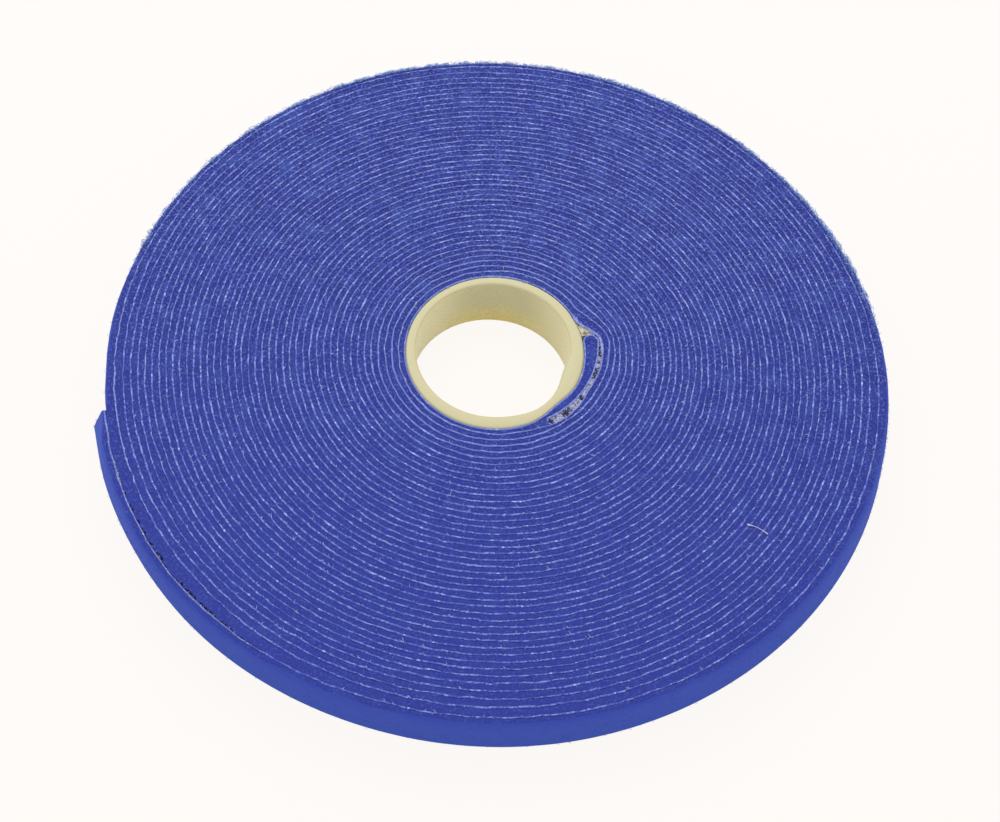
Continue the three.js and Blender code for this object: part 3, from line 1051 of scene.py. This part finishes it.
class TAPEROLL_OT_folded_start(bpy.types.Operator):
    """Folds the tape's start back on itself beside the core, loops inside and film outside."""

    bl_idname = "taperoll.folded_start"
    bl_label = "Folded start"
    bl_options = {"REGISTER", "UNDO"}

    def execute(self, context):
        roll = roll_settings(context)
        tape, core = roll.tape, roll.core
        half = tape.film / 2

        # The nose is a half circle that ends at the fold's angle.
        inner_leg = core.radius + half + BOND
        room = fold_outer_radius(roll, FOLD_ANGLE) - half - inner_leg
        centre_angle = FOLD_ANGLE - room / 2 / (inner_leg + room / 2)
        outer_leg = fold_outer_radius(roll, centre_angle) - half
        centre_radius, nose = (inner_leg + outer_leg) / 2, (outer_leg - inner_leg) / 2

        # The film runs from the tip out to the nose, round it and back along the core.
        angles = np.linspace(FOLD_TIP_ANGLE, centre_angle, LEG_STEPS)
        out = on_circle(fold_outer_radius(roll, angles) - half, angles)
        radial = np.array([math.cos(centre_angle), math.sin(centre_angle)])
        ahead = np.array([-radial[1], radial[0]])
        turn = np.linspace(math.pi / 2, -math.pi / 2, NOSE_STEPS)[1:-1]
        around = np.outer(np.sin(turn), radial) + np.outer(np.cos(turn), ahead)
        back = on_circle(core_edge(roll, angles) + half + BOND, angles)[::-1]
        line = np.concatenate([out, radial * centre_radius + nose * around, back])
        along = np.gradient(line, axis=0)
        along /= np.linalg.norm(along, axis=1)[:, None]
        normal = np.column_stack([along[:, 1], -along[:, 0]])
        top = tape.width + FOLD_WAVE * (1 + np.sin(np.arange(len(line)) * FOLD_WAVE_STEP))
        piece = ribbon("folded_film", upright(line, normal, half, top))
        finish_piece(roll, piece, clean_nylon_film, "roll", ["start_fold_hook_film"])

        # The pile fills the fold, rounded inside the nose.
        ahead = np.linspace(NOSE_FILLED, 0, NOSE_PILE_STEPS) * (nose - half) / centre_radius
        rounded = np.sqrt(1 - (ahead * centre_radius / (nose - half)) ** 2)
        leg = np.linspace(centre_angle, FOLD_TIP_ANGLE, LEG_STEPS)[1:]
        angles = np.concatenate([centre_angle + ahead, leg])
        share = np.concatenate([rounded, np.ones(len(leg))])
        inside = core_edge(roll, angles) + 2 * half + 2 * BOND
        outside = fold_outer_radius(roll, np.minimum(angles, centre_angle)) - 2 * half - BOND
        outside = np.maximum(outside, inside + BOND)
        middle, half_room = (inside + outside) / 2, (outside - inside) / 2
        feet = [(side, np.full_like(angles, rise)) for side, rise in FOLD_FOOT]
        tops = [(side, tape.width + rise * share) for side, rise in FOLD_TOP]
        rings = []
        for side, height in feet + tops:
            rings.append(np.column_stack([on_circle(middle + half_room * share * side, angles), height]))
        piece = ribbon("folded_pile", np.stack(rings, 1))
        finish_piece(roll, piece, brushed_nylon_loop, "roll", ["start_fold_loop_fabric"])
        return {"FINISHED"}


class TAPEROLL_OT_free_end(bpy.types.Operator):
    """Makes the free end in stretches that lie over its hinges."""

    bl_idname = "taperoll.free_end"
    bl_label = "Free end"
    bl_options = {"REGISTER", "UNDO"}

    def execute(self, context):
        roll = roll_settings(context)
        for index in STRETCHES:
            start, stop = tail_stretch(index)
            turns = sections(roll.tape, stop, start, TAIL_STEP)
            piece = ribbon(f"free_end_film_{index + 1}", film_rings(roll, turns))
            nodes = tail_nodes(index, "hook_film")
            finish_piece(roll, piece, clean_nylon_film, None, nodes)
            follow_tail(piece, index)
            rings = pile_rings(roll, turns, FREE_TOP, FREE_FOOT, FACE_ROWS)
            piece = ribbon(f"free_end_pile_{index + 1}", rings)
            nodes = tail_nodes(index, "loop_fabric")
            finish_piece(roll, piece, brushed_nylon_loop, None, nodes)
            follow_tail(piece, index)
        return {"FINISHED"}


def fibres(roll, name, paths, thickness, taper, material, slot, body="roll"):
    """A piece of single strands."""
    return finish_piece(roll, strands(name, paths, thickness, taper), material, body)


# A hook in its own plane, as shares of its height: along the tape and off the film
HOOK_SHAPE = np.array([(0.0, -0.1), (0.0, 0.55), (0.2, 0.9), (0.5, 1.0), (0.72, 0.75)])
HOOK_TAPER = [1.3, 1.0, 0.95, 0.9, 0.6]

# How far the hooks under the free end go on under the winding, in turns, and how many widths of the opening
# away from it the top row of hooks is left out, as the wraps are pressed together there
WOUND_HOOK_TURNS = 0.03
PRESSED_FROM = 1.3
END_MARGIN = 0.3
ROW_TOP = 0.25
ROW_SHIFT = 0.5

# Single hooks around the fold, as shares of their spacing and reach: the depth of their row, their distance
# ahead of the nose, and their reach over the fold's tip and on the fold. They stop so many turns short of
# the nose and of the film over the wedge.
FOLD_ROW = 0.3
NOSE_SPACING = 0.7
TIP_REACH = 0.6
FOLD_REACH = 0.5
FOLD_HOOKS_END = 0.012
WEDGE_HOOKS_END = 0.006

# The mass of hooks beside the fold and in the wedge ahead of its nose: sections, the wedge's angles from the
# nose, the points of a section, its depth below the edge, and the pits in its top
BED_STEPS = 150
WEDGE_STEPS = 40
WEDGE_FROM = math.radians(0.4)
WEDGE_TO = math.radians(14)
BED_SECTION = (0.0, 1.0, 1.0, 0.85, 0.65, 0.5, 0.35, 0.15, 0.0)
BED_DROP = 0.25 * MM
PIT_DEPTH = 4.0 * MM
WEDGE_PIT_DEPTH = 1.2 * MM
PIT_LENGTH = 1.4 * MM
PITTED = (0.12, 1.6)


def hook_paths(roll, turns, radius_at, side, reach, spacing, rows=0):
    """Rows of hooks on a face of the film. `side` is -1 where they point at the core, and 1 outwards.

    Without a number of rows they fill the film, apart from its top row where the wraps are pressed together.
    """
    width = roll.tape.width
    paths = []
    for column, turn in enumerate(turns):
        radius = radius_at(turn)
        pressed = not rows and abs(turn + 1 - OPEN_AT) > PRESSED_FROM * OPEN_TURNS
        for row in range(int(pressed), rows or int(width / spacing) - 1):
            height = width - (row + ROW_TOP + ROW_SHIFT * (column % 2)) * spacing
            way = 1 if (row + column) % 2 else -1
            at = turn + way * HOOK_SHAPE[:, 0] * reach / radius / TURN
            paths.append(place(roll, at, radius + side * HOOK_SHAPE[:, 1] * reach, height))
    return paths


def bed_rings(roll, angles, low, pit_depth):
    """Sections of the mass of hooks under the wrap over the fold or the core, with pits in its top."""
    tape = roll.tape
    turns = TURNS - 1 - (FOLD_ANGLE - angles) / TURN
    high = np.maximum(film_radius(roll, turns) - tape.film / 2 - HOOK_GAP, low + BOND)
    pits = pit_depth * smooth(grown(PITTED, drift(tape, turns, PIT_LENGTH, SEEDS["pits"])))
    rings = []
    for point, share in enumerate(BED_SECTION):
        height = tape.width - BED_DROP - pits * math.sin(math.pi * share) if point > 1 else 0 * pits
        rings.append(np.column_stack([on_circle(low + (high - low) * share, angles), height]))
    return np.stack(rings, 1)


class TAPEROLL_OT_hooks(bpy.types.Operator):
    """Sets hooks on the film where it can be seen: under the free end and around the folded start."""

    bl_idname = "taperoll.hooks"
    bl_label = "Hooks"
    bl_options = {"REGISTER", "UNDO"}

    def execute(self, context):
        roll = roll_settings(context)
        tape, sizes = roll.tape, roll.fibres
        reach, spacing = sizes.hook_height, sizes.hook_spacing
        look = (sizes.hook_thickness, HOOK_TAPER, moulded_nylon_hooks, "hook_film")

        def inner_face(turn):
            return float(film_radius(roll, turn)) - tape.film / 2

        def fold_face(turn):
            return fold_outer_radius(roll, FOLD_ANGLE - (TURNS - turn) * TURN)

        margin = END_MARGIN * spacing / (TURN * tape.outer_line)
        for index in STRETCHES:
            start, stop = tail_stretch(index)
            turns = sections(tape, stop + margin, start, spacing)[:-1]
            paths = hook_paths(roll, turns, inner_face, -1, reach, spacing)
            follow_tail(fibres(roll, f"free_end_hooks_{index + 1}", paths, *look, body=None), index)
        turns = sections(tape, TAIL_ROOT, TAIL_ROOT + WOUND_HOOK_TURNS, spacing)
        paths = hook_paths(roll, turns, inner_face, -1, reach, spacing)
        fibres(roll, "wound_hooks", paths, *look)

        reach, spacing = sizes.fold_hook_height, sizes.fold_hook_spacing
        over_tip = WINDING_END - 1
        paths = []
        for first, last, every, face, side, height in (
            (over_tip, TURNS - 1, spacing, inner_face, -1, TIP_REACH * reach),
            (WINDING_END, TURNS - FOLD_HOOKS_END, spacing, fold_face, 1, FOLD_REACH * reach),
            (TURNS - 1, TURNS - CLIMB_FROM - WEDGE_HOOKS_END, NOSE_SPACING * spacing, inner_face, -1, reach),
        ):
            turns = sections(tape, first, last, every)
            paths += hook_paths(roll, turns, face, side, height, FOLD_ROW * spacing, 1)
        look = (sizes.fold_hook_thickness, HOOK_TAPER, pale_nylon_hooks, "hook_film")
        fibres(roll, "fold_hooks", paths, *look)

        angles = np.linspace(FOLD_TIP_ANGLE, FOLD_ANGLE, BED_STEPS)
        rings = bed_rings(roll, angles, fold_outer_radius(roll, angles) + HOOK_GAP, PIT_DEPTH)
        piece = ribbon("fold_hook_bed", rings)
        finish_piece(roll, piece, worn_nylon_hooks, "roll")
        angles = np.linspace(FOLD_ANGLE + WEDGE_FROM, FOLD_ANGLE + WEDGE_TO, WEDGE_STEPS)
        rings = bed_rings(roll, angles, core_edge(roll, angles) + HOOK_GAP, WEDGE_PIT_DEPTH)
        piece = ribbon("fold_hook_wedge", rings)
        finish_piece(roll, piece, clean_nylon_hooks, "roll")
        return {"FINISHED"}


# A loop in its own plane, as shares of its span and its rise: along the surface and off it
LOOP_SHAPE = np.array([(0.0, -0.2), (0.3, 0.9), (0.7, 0.9), (1.0, -0.2)])
LOOP_TAPER = [0.9, 1.0, 1.0, 0.8]
LOOP_SPAN = (0.5 * MM, 1.3 * MM)
LOOP_RISE = (0.1 * MM, 0.5 * MM)
LOOP_BATCHES = 3

# Loops on the face: how far they stay from its foot and its top edge, and from a stretch's ends and the cut
FACE_FOOT_MARGIN = 0.6 * MM
FACE_TOP_MARGIN = 1.5 * MM
STRETCH_MARGIN = 0.0008
PINCHED_TURNS = 0.008

# The fringe of loops on the shoulder: from which height of the roll's outline on it shows and how soon it is
# full, as sines, the wrap's end, where it is fullest, and the length of its tufts
FRINGE_FROM = 0.05
FRINGE_FADE = 0.3
FRINGE_TO = 0.93
FRINGE_MOST = math.radians(55)
FRINGE_TUFT = 4 * MM
FRINGE_SIZE = (0.7, 2.2)
FRINGE_OUT = 0.75
FRINGE_UP = 0.65
SHOULDER_FROM = 0.3
SHOULDER_DROPS_FROM = 0.8
SHOULDER_TOP = 0.15 * MM
SHOULDER_DROP = 1.6 * MM

# Shares of the loops that stay: the least, and how much more on the fringe's fullest side and in its tufts.
# SIDEWAYS and TUFTS take a value from -1 to 1 to how full the fringe is there.
FRINGE_KEPT = (0.4, 0.3)
TUFTS_KEPT = (0.3, 0.7)
SIDEWAYS = (0.4, 1.2)
TUFTS = (0.5, 0.9)

# Loops on the wraps' top edges: their place across a wrap as shares, their depth and size, and the share
# of them that stays, which is less in front. The outermost wrap has none in front, below this sine.
EDGE_LOOP_SHARES = (0.1, 0.85)
EDGE_LOOP_DEPTH = 0.05 * MM
EDGE_LOOP_SIZE = 0.8
EDGE_LOOPS_KEPT = (0.5, 0.35)
BARE_FRONT = -0.3


def loop_path(roll, rng, turn, radius, height, out, up, size=1.0):
    """One loop of the pile: it leaves the surface by the way out and up, lies over and comes back."""
    span = size * rng.uniform(*LOOP_SPAN)
    rise = size * rng.uniform(*LOOP_RISE)
    slew = rng.uniform(-math.pi, math.pi)
    along = LOOP_SHAPE[:, 0] * span * math.cos(slew)
    across = LOOP_SHAPE[:, 0] * span * math.sin(slew)
    off = LOOP_SHAPE[:, 1] * rise
    at = turn + along / radius / TURN
    return place(roll, at, radius + off * out - across * up, height + off * up + across * out)


def face_loop(roll, rng, turn):
    """A loop on the outermost wrap's face."""
    height = rng.uniform(FACE_FOOT_MARGIN, roll.tape.width - FACE_TOP_MARGIN)
    radius = float(pile_radii(roll, np.array([turn]))[1][0])
    return loop_path(roll, rng, turn, radius, height, 1.0, 0.0)


def shoulder_loop(roll, rng, turn):
    """A loop that stands out from the outermost wrap's shoulder."""
    inside, outside = pile_radii(roll, np.array([turn]))
    share = rng.uniform(SHOULDER_FROM, 1.0)
    radius = float(inside[0] + (outside[0] - inside[0]) * share)
    outer = max(share - SHOULDER_DROPS_FROM, 0) / (1 - SHOULDER_DROPS_FROM)
    height = roll.tape.width - SHOULDER_TOP - SHOULDER_DROP * outer
    return loop_path(roll, rng, turn, radius, height, FRINGE_OUT, FRINGE_UP, rng.uniform(*FRINGE_SIZE))


class TAPEROLL_OT_loops(bpy.types.Operator):
    """Scatters single loops over the outermost wrap's face, its shoulder and the wraps' top edges."""

    bl_idname = "taperoll.loops"
    bl_label = "Loops"
    bl_options = {"REGISTER", "UNDO"}

    def execute(self, context):
        roll = roll_settings(context)
        sizes, tape = roll.fibres, roll.tape
        rng = np.random.default_rng(SEEDS["loops"])

        look = (sizes.loop_thickness, LOOP_TAPER, flat_nylon_loops, "loop_fabric")
        for index in STRETCHES:
            start, stop = tail_stretch(index)
            low, high = max(stop + STRETCH_MARGIN, PINCHED_TURNS), start - STRETCH_MARGIN
            turns = rng.uniform(low, high, round(sizes.face_loops * (high - low)))
            paths = [face_loop(roll, rng, turn) for turn in turns]
            follow_tail(fibres(roll, f"free_end_loops_{index + 1}", paths, *look, body=None), index)
        count = round(sizes.face_loops * (OUTER_WRAP_END - TAIL_ROOT))
        turns = rng.uniform(TAIL_ROOT, OUTER_WRAP_END, count)
        fibres(roll, "wound_face_loops", [face_loop(roll, rng, turn) for turn in turns], *look)

        turns = rng.uniform(TAIL_ROOT, OUTER_WRAP_END, sizes.shoulder_loops)
        turns = turns[(np.sin(tape_angle(turns)) > FRINGE_FROM) & (turns < FRINGE_TO)]
        sideways = smooth(grown(SIDEWAYS, np.cos(tape_angle(turns) - FRINGE_MOST)))
        fading = smooth((np.sin(tape_angle(turns)) - FRINGE_FROM) / FRINGE_FADE)
        tufts = smooth(grown(TUFTS, drift(tape, turns, FRINGE_TUFT, SEEDS["tufts"])))
        kept = grown(FRINGE_KEPT, sideways) * fading * grown(TUFTS_KEPT, tufts)
        turns = turns[rng.random(len(turns)) < kept]
        paths = [shoulder_loop(roll, rng, turn) for turn in turns]
        look = (sizes.shoulder_loop_thickness, LOOP_TAPER, upright_nylon_loops, "loop_fabric")
        fibres(roll, "wound_shoulder_loops", paths, *look)

        first, last = tape_length(tape, TAIL_ROOT), tape_length(tape, WINDING_END)
        turns = np.sort(turns_at(tape, rng.uniform(first, last, 2 * sizes.edge_loops)))
        turns = turns[rng.random(len(turns)) < grown(EDGE_LOOPS_KEPT, np.sin(tape_angle(turns)))]
        turns = turns[(turns > OUTER_WRAP_END) | (np.sin(tape_angle(turns)) > BARE_FRONT)]
        look = (sizes.edge_loop_thickness, LOOP_TAPER, single_nylon_loops, "loop_fabric")
        for batch, turns in enumerate(np.array_split(turns, LOOP_BATCHES)):
            inside, outside = pile_radii(roll, turns)
            height = edge_height(roll, turns) - EDGE_LOOP_DEPTH
            radius = inside + (outside - inside) * rng.uniform(*EDGE_LOOP_SHARES, len(turns))
            places = zip(turns, radius, height)
            paths = [loop_path(roll, rng, *at, 0.0, 1.0, EDGE_LOOP_SIZE) for at in places]
            fibres(roll, f"wound_edge_loops_{batch + 1}", paths, *look)
        return {"FINISHED"}


# Loose threads: where their points lie along them and their taper, the turns that stay free of them and the
# share that stays, which is less in front, their reach in mm and slant, their curl, and their arched rise
THREAD_SHARES = np.array([0.0, 0.35, 0.7, 1.0])
THREAD_TAPER = [1.0, 1.0, 0.85, 0.6]
THREAD_MARGIN = 0.002
THREADS_KEPT = (0.7, 0.3)
THREAD_REACH = (0.35, 0.9)
THREAD_SLANT = (-0.2, 1.3)
THREAD_CURL = 0.35
THREAD_LOW = 0.08 * MM
THREAD_RISE = (0.1 * MM, 0.3 * MM)
THREAD_ARCH = 2.6

# Some threads fork: the share of them, their reach in mm, their prongs' slants, and how these vary
FORKED = 0.22
FORK_REACH = (0.7, 1.6)
PRONGS = (math.radians(12), math.radians(52))
PRONG_REACH = (0.8, 1.1)
PRONG_SCATTER = 0.15

# One thread lies loose across the wraps: where it starts, its height, way, reach, bow and arch, and its
# taper, with a thicker tangle at either end
STRAY_START = (85.9 * MM, -58.6 * MM)
STRAY_HEIGHT = 0.35 * MM
STRAY_WAY = math.radians(-24)
STRAY_REACH = 7.3 * MM
STRAY_BOW = 0.5 * MM
STRAY_ARCH = 0.3
STRAY_TAPER = [2.6, 1.7, 0.8, 0.8, 0.8, 0.8, 1.5, 2.3]

# Shreds of the film's edge: their taper, length in mm and height over it, and how they scatter across it
FRAY_TAPER = [0.5, 1.0, 1.0, 0.5]
FRAY_LENGTH = (0.5, 2.2)
FRAY_HEIGHT = 0.16 * MM
FRAY_SPREAD = 0.1 * MM

# Stretches of the film's edge that are frayed most, in turns, with the number of shreds there and how they
# scatter: under the free end, over the fold and its nose, and in the wedge ahead of it
FRAYED = (
    (0.955, 1.035, 90, 0.1 * MM),
    (TURNS - 7.0, TURNS - 2.1, 160, 0.12 * MM),
    (TURNS - 2.1, TURNS - 0.955, 110, 0.15 * MM),
    (TURNS - 1.04, TURNS - 0.955, 120, 0.36 * MM),
)

# Shreds at the free end's cut: their number, their heights, lengths and scatter in mm, and where they start
# and the pile's section there is taken, in turns
CUT_FRAYS = 60
CUT_FRAY_HEIGHTS = (0.5, 9)
CUT_FRAY_LENGTH = (0.4, 1.2)
CUT_FRAY_SCATTER = 0.2
CUT_FRAY_ROOT = 0.0004
CUT_SECTION = 0.0005


def loose_thread(roll, rng, turn, reach, slant):
    """One thread, from the film's edge towards the free end and the core."""
    radius = float(film_radius(roll, turn))
    way = slant + rng.normal(0, THREAD_CURL) * THREAD_SHARES
    along = -reach * THREAD_SHARES * np.cos(way)
    inward = reach * THREAD_SHARES * np.sin(way)
    rise = THREAD_LOW + rng.uniform(*THREAD_RISE) * np.sin(THREAD_SHARES * THREAD_ARCH)
    return place(roll, turn + along / radius / TURN, radius - inward, float(edge_height(roll, turn)) + rise)


class TAPEROLL_OT_threads(bpy.types.Operator):
    """Pulls pale threads and shreds out of the film's top edge, and lays one thread across the wraps."""

    bl_idname = "taperoll.threads"
    bl_label = "Loose threads"
    bl_options = {"REGISTER", "UNDO"}

    def execute(self, context):
        roll = roll_settings(context)
        sizes, tape = roll.fibres, roll.tape
        rng = np.random.default_rng(SEEDS["threads"])
        first, last = tape_length(tape, TAIL_ROOT + THREAD_MARGIN), tape_length(tape, WINDING_END)
        paths = []
        while len(paths) < sizes.threads:
            turn = float(turns_at(tape, rng.uniform(first, last)))
            if rng.random() > grown(THREADS_KEPT, math.sin(float(tape_angle(turn)))):
                continue
            if rng.random() < FORKED:
                reach = rng.uniform(*FORK_REACH) * MM
                for slant in PRONGS:
                    prong = reach * rng.uniform(*PRONG_REACH)
                    way = slant + rng.normal(0, PRONG_SCATTER)
                    paths.append(loose_thread(roll, rng, turn, prong, way))
            else:
                reach = rng.uniform(*THREAD_REACH) * MM
                paths.append(loose_thread(roll, rng, turn, reach, rng.uniform(*THREAD_SLANT)))
        look = (sizes.thread_thickness, THREAD_TAPER, drawn_nylon_thread, "hook_film")
        fibres(roll, "wound_threads", paths, *look)

        share = np.linspace(0, 1, len(STRAY_TAPER))
        ahead = STRAY_REACH * share
        aside = STRAY_BOW * np.sin(math.pi * share)
        x = STRAY_START[0] + ahead * math.cos(STRAY_WAY) - aside * math.sin(STRAY_WAY)
        y = STRAY_START[1] + ahead * math.sin(STRAY_WAY) + aside * math.cos(STRAY_WAY)
        path = np.column_stack([x, y, tape.width + STRAY_HEIGHT + STRAY_ARCH * aside])
        look = (sizes.stray_thickness, STRAY_TAPER, bleached_nylon_thread, "loop_fabric")
        fibres(roll, "stray_thread", [path], *look)

        paths = []
        for start, stop, count, spread in ((TAIL_ROOT, WINDING_END, sizes.frays, FRAY_SPREAD), *FRAYED):
            for distance in rng.uniform(tape_length(tape, start), tape_length(tape, stop), count):
                turn = float(turns_at(tape, distance))
                length_along = rng.uniform(*FRAY_LENGTH) * MM * THREAD_SHARES
                at = turn + length_along / float(film_radius(roll, turn)) / TURN
                slant = rng.normal(0, spread, 2) @ [1 - THREAD_SHARES, THREAD_SHARES]
                height = edge_height(roll, at) + FRAY_HEIGHT
                paths.append(place(roll, at, film_radius(roll, at) + slant, height))
        look = (sizes.fray_thickness, FRAY_TAPER, frayed_nylon_film, "hook_film")
        fibres(roll, "wound_frays", paths, *look)

        paths = []
        inside, outside = (float(radius[0]) for radius in pile_radii(roll, np.array([CUT_SECTION])))
        for height in rng.uniform(*CUT_FRAY_HEIGHTS, CUT_FRAYS) * MM:
            share = rng.random()
            radius = inside + (outside - inside) * share * (1 - CUT_PINCH * height / tape.width)
            turn = CUT_FRAY_ROOT - THREAD_SHARES * rng.uniform(*CUT_FRAY_LENGTH) * MM / radius / TURN
            aside = rng.normal(0, CUT_FRAY_SCATTER) * MM * THREAD_SHARES
            paths.append(place(roll, turn, radius + aside, height))
        look = (sizes.thread_thickness, FRAY_TAPER, pale_nylon_hooks, "loop_fabric")
        follow_tail(fibres(roll, "free_end_frays", paths, *look, body=None), len(JOINTS))
        return {"FINISHED"}


# The stage. The floor and the sky show their own colour, apart from the share that keeps the roll's shadow.
CAMERA_TARGET_X = 3.33 * MM
CAMERA_TARGET_Y = -23.54 * MM
SENSOR_WIDTH = 36
FLOOR_DROP = 0.2 * MM
FLOOR_SHADE = 0.9
SEEN_SHARE = 0.93
LAMP_PLACE = (-0.15, 0.55, 0.75)
LAMP_SIZE = (0.9, 0.5)


def seen_rays(tree):
    """1 for rays from the camera, a reflection or a view through something clear, and 0 for light."""
    path = add_node(tree, "ShaderNodeLightPath").outputs
    seen = add_node(tree, MATH, [path["Is Camera Ray"], path["Is Glossy Ray"]], **LARGER)
    return add_node(tree, MATH, [seen, path["Is Transmission Ray"]], **LARGER)


class TAPEROLL_OT_stage(bpy.types.Operator):
    """Sets the pale floor, the even sky, the soft lamp and the camera."""

    bl_idname = "taperoll.stage"
    bl_label = "Stage"
    bl_options = {"REGISTER", "UNDO"}

    def execute(self, context):
        roll = roll_settings(context)
        stage, white = roll.stage, rgba(roll.finish.floor)
        bpy.ops.mesh.primitive_plane_add(size=stage.floor, location=(0, 0, -FLOOR_DROP))
        floor = bpy.context.object
        floor.name = "floor"
        shaded = rgba([FLOOR_SHADE * value for value in roll.finish.floor])
        material, tree, shader = new_material("matt_paper", Roughness=0.9, Base_Color=shaded)
        glow = add_node(tree, "ShaderNodeEmission", {"Color": white, "Strength": 1.0})
        share = add_node(tree, MATH, [seen_rays(tree), SEEN_SHARE], **PRODUCT)
        mix = add_node(tree, "ShaderNodeMixShader", [share, shader, glow])
        tree.links.new(mix.outputs[0], tree.nodes["Material Output"].inputs["Surface"])
        floor.data.materials.append(material)

        world = bpy.data.worlds.new("even_sky")
        bpy.context.scene.world = world
        world.use_nodes = True
        tree = world.node_tree
        light = tree.nodes["Background"]
        light.inputs["Color"].default_value = (1, 1, 1, 1)
        light.inputs["Strength"].default_value = stage.sky
        shown = add_node(tree, "ShaderNodeBackground", {"Color": white, "Strength": 1.0})
        mix = add_node(tree, "ShaderNodeMixShader", [seen_rays(tree), light, shown])
        tree.links.new(mix.outputs[0], tree.nodes["World Output"].inputs["Surface"])

        bpy.ops.object.light_add(type="AREA", location=LAMP_PLACE)
        lamp = bpy.context.object
        lamp.name = "soft_lamp"
        lamp.data.shape = "RECTANGLE"
        lamp.data.size, lamp.data.size_y = LAMP_SIZE
        lamp.data.energy = stage.lamp
        lamp.rotation_euler = (-lamp.location).to_track_quat("-Z", "Y").to_euler()

        target = Vector((CAMERA_TARGET_X, CAMERA_TARGET_Y, roll.tape.width))
        back = Vector((0, -math.cos(stage.elevation), math.sin(stage.elevation)))
        up = Vector((0, math.sin(stage.elevation), math.cos(stage.elevation)))
        right = Vector((1, 0, 0))
        cos, sin = math.cos(stage.roll), math.sin(stage.roll)
        axes = Matrix((cos * right + sin * up, cos * up - sin * right, back)).transposed()
        bpy.ops.object.camera_add()
        camera = bpy.context.object
        camera.name = "camera"
        camera.data.lens = stage.lens
        camera.data.sensor_width = SENSOR_WIDTH
        camera.matrix_world = Matrix.Translation(target + back * stage.distance) @ axes.to_4x4()
        bpy.context.scene.camera = camera
        bpy.context.scene.view_settings.view_transform = "Standard"
        return {"FINISHED"}


class TAPEROLL_PT_panel(bpy.types.Panel):
    """Lists the pieces in the sidebar."""

    bl_idname = "TAPEROLL_PT_panel"
    bl_label = "Tape Roll"
    bl_space_type = "VIEW_3D"
    bl_region_type = "UI"
    bl_category = "Tape Roll"

    def draw(self, context):
        roll = context.scene.tape_roll
        for group in (roll.tape, roll.core, roll.fibres, roll.finish, roll.stage):
            box = self.layout.box()
            for name in group.__annotations__:
                box.prop(group, name)
        for operator in OPERATORS:
            self.layout.operator(operator.bl_idname)


OPERATORS = (
    TAPEROLL_OT_stage,
    TAPEROLL_OT_core,
    TAPEROLL_OT_winding_film,
    TAPEROLL_OT_winding_pile,
    TAPEROLL_OT_folded_start,
    TAPEROLL_OT_free_end,
    TAPEROLL_OT_hooks,
    TAPEROLL_OT_loops,
    TAPEROLL_OT_threads,
)
GROUPS = (TapeSettings, CoreSettings, FibreSettings, FinishSettings, StageSettings, RollSettings)
CLASSES = (*GROUPS, *OPERATORS, TAPEROLL_PT_panel)


def register():
    for cls in CLASSES:
        bpy.utils.register_class(cls)
    bpy.types.Scene.tape_roll = bpy.props.PointerProperty(
        name="Tape roll", description="All settings of the roll", type=RollSettings
    )


def unregister():
    del bpy.types.Scene.tape_roll
    for cls in reversed(CLASSES):
        bpy.utils.unregister_class(cls)


def main():
    register()
    bpy.ops.taperoll.stage()
    bpy.ops.taperoll.core()
    bpy.ops.taperoll.winding_film()
    bpy.ops.taperoll.winding_pile()
    bpy.ops.taperoll.folded_start()
    bpy.ops.taperoll.free_end()
    bpy.ops.taperoll.hooks()
    bpy.ops.taperoll.loops()
    bpy.ops.taperoll.threads()


if __name__ == "__main__":
    main()
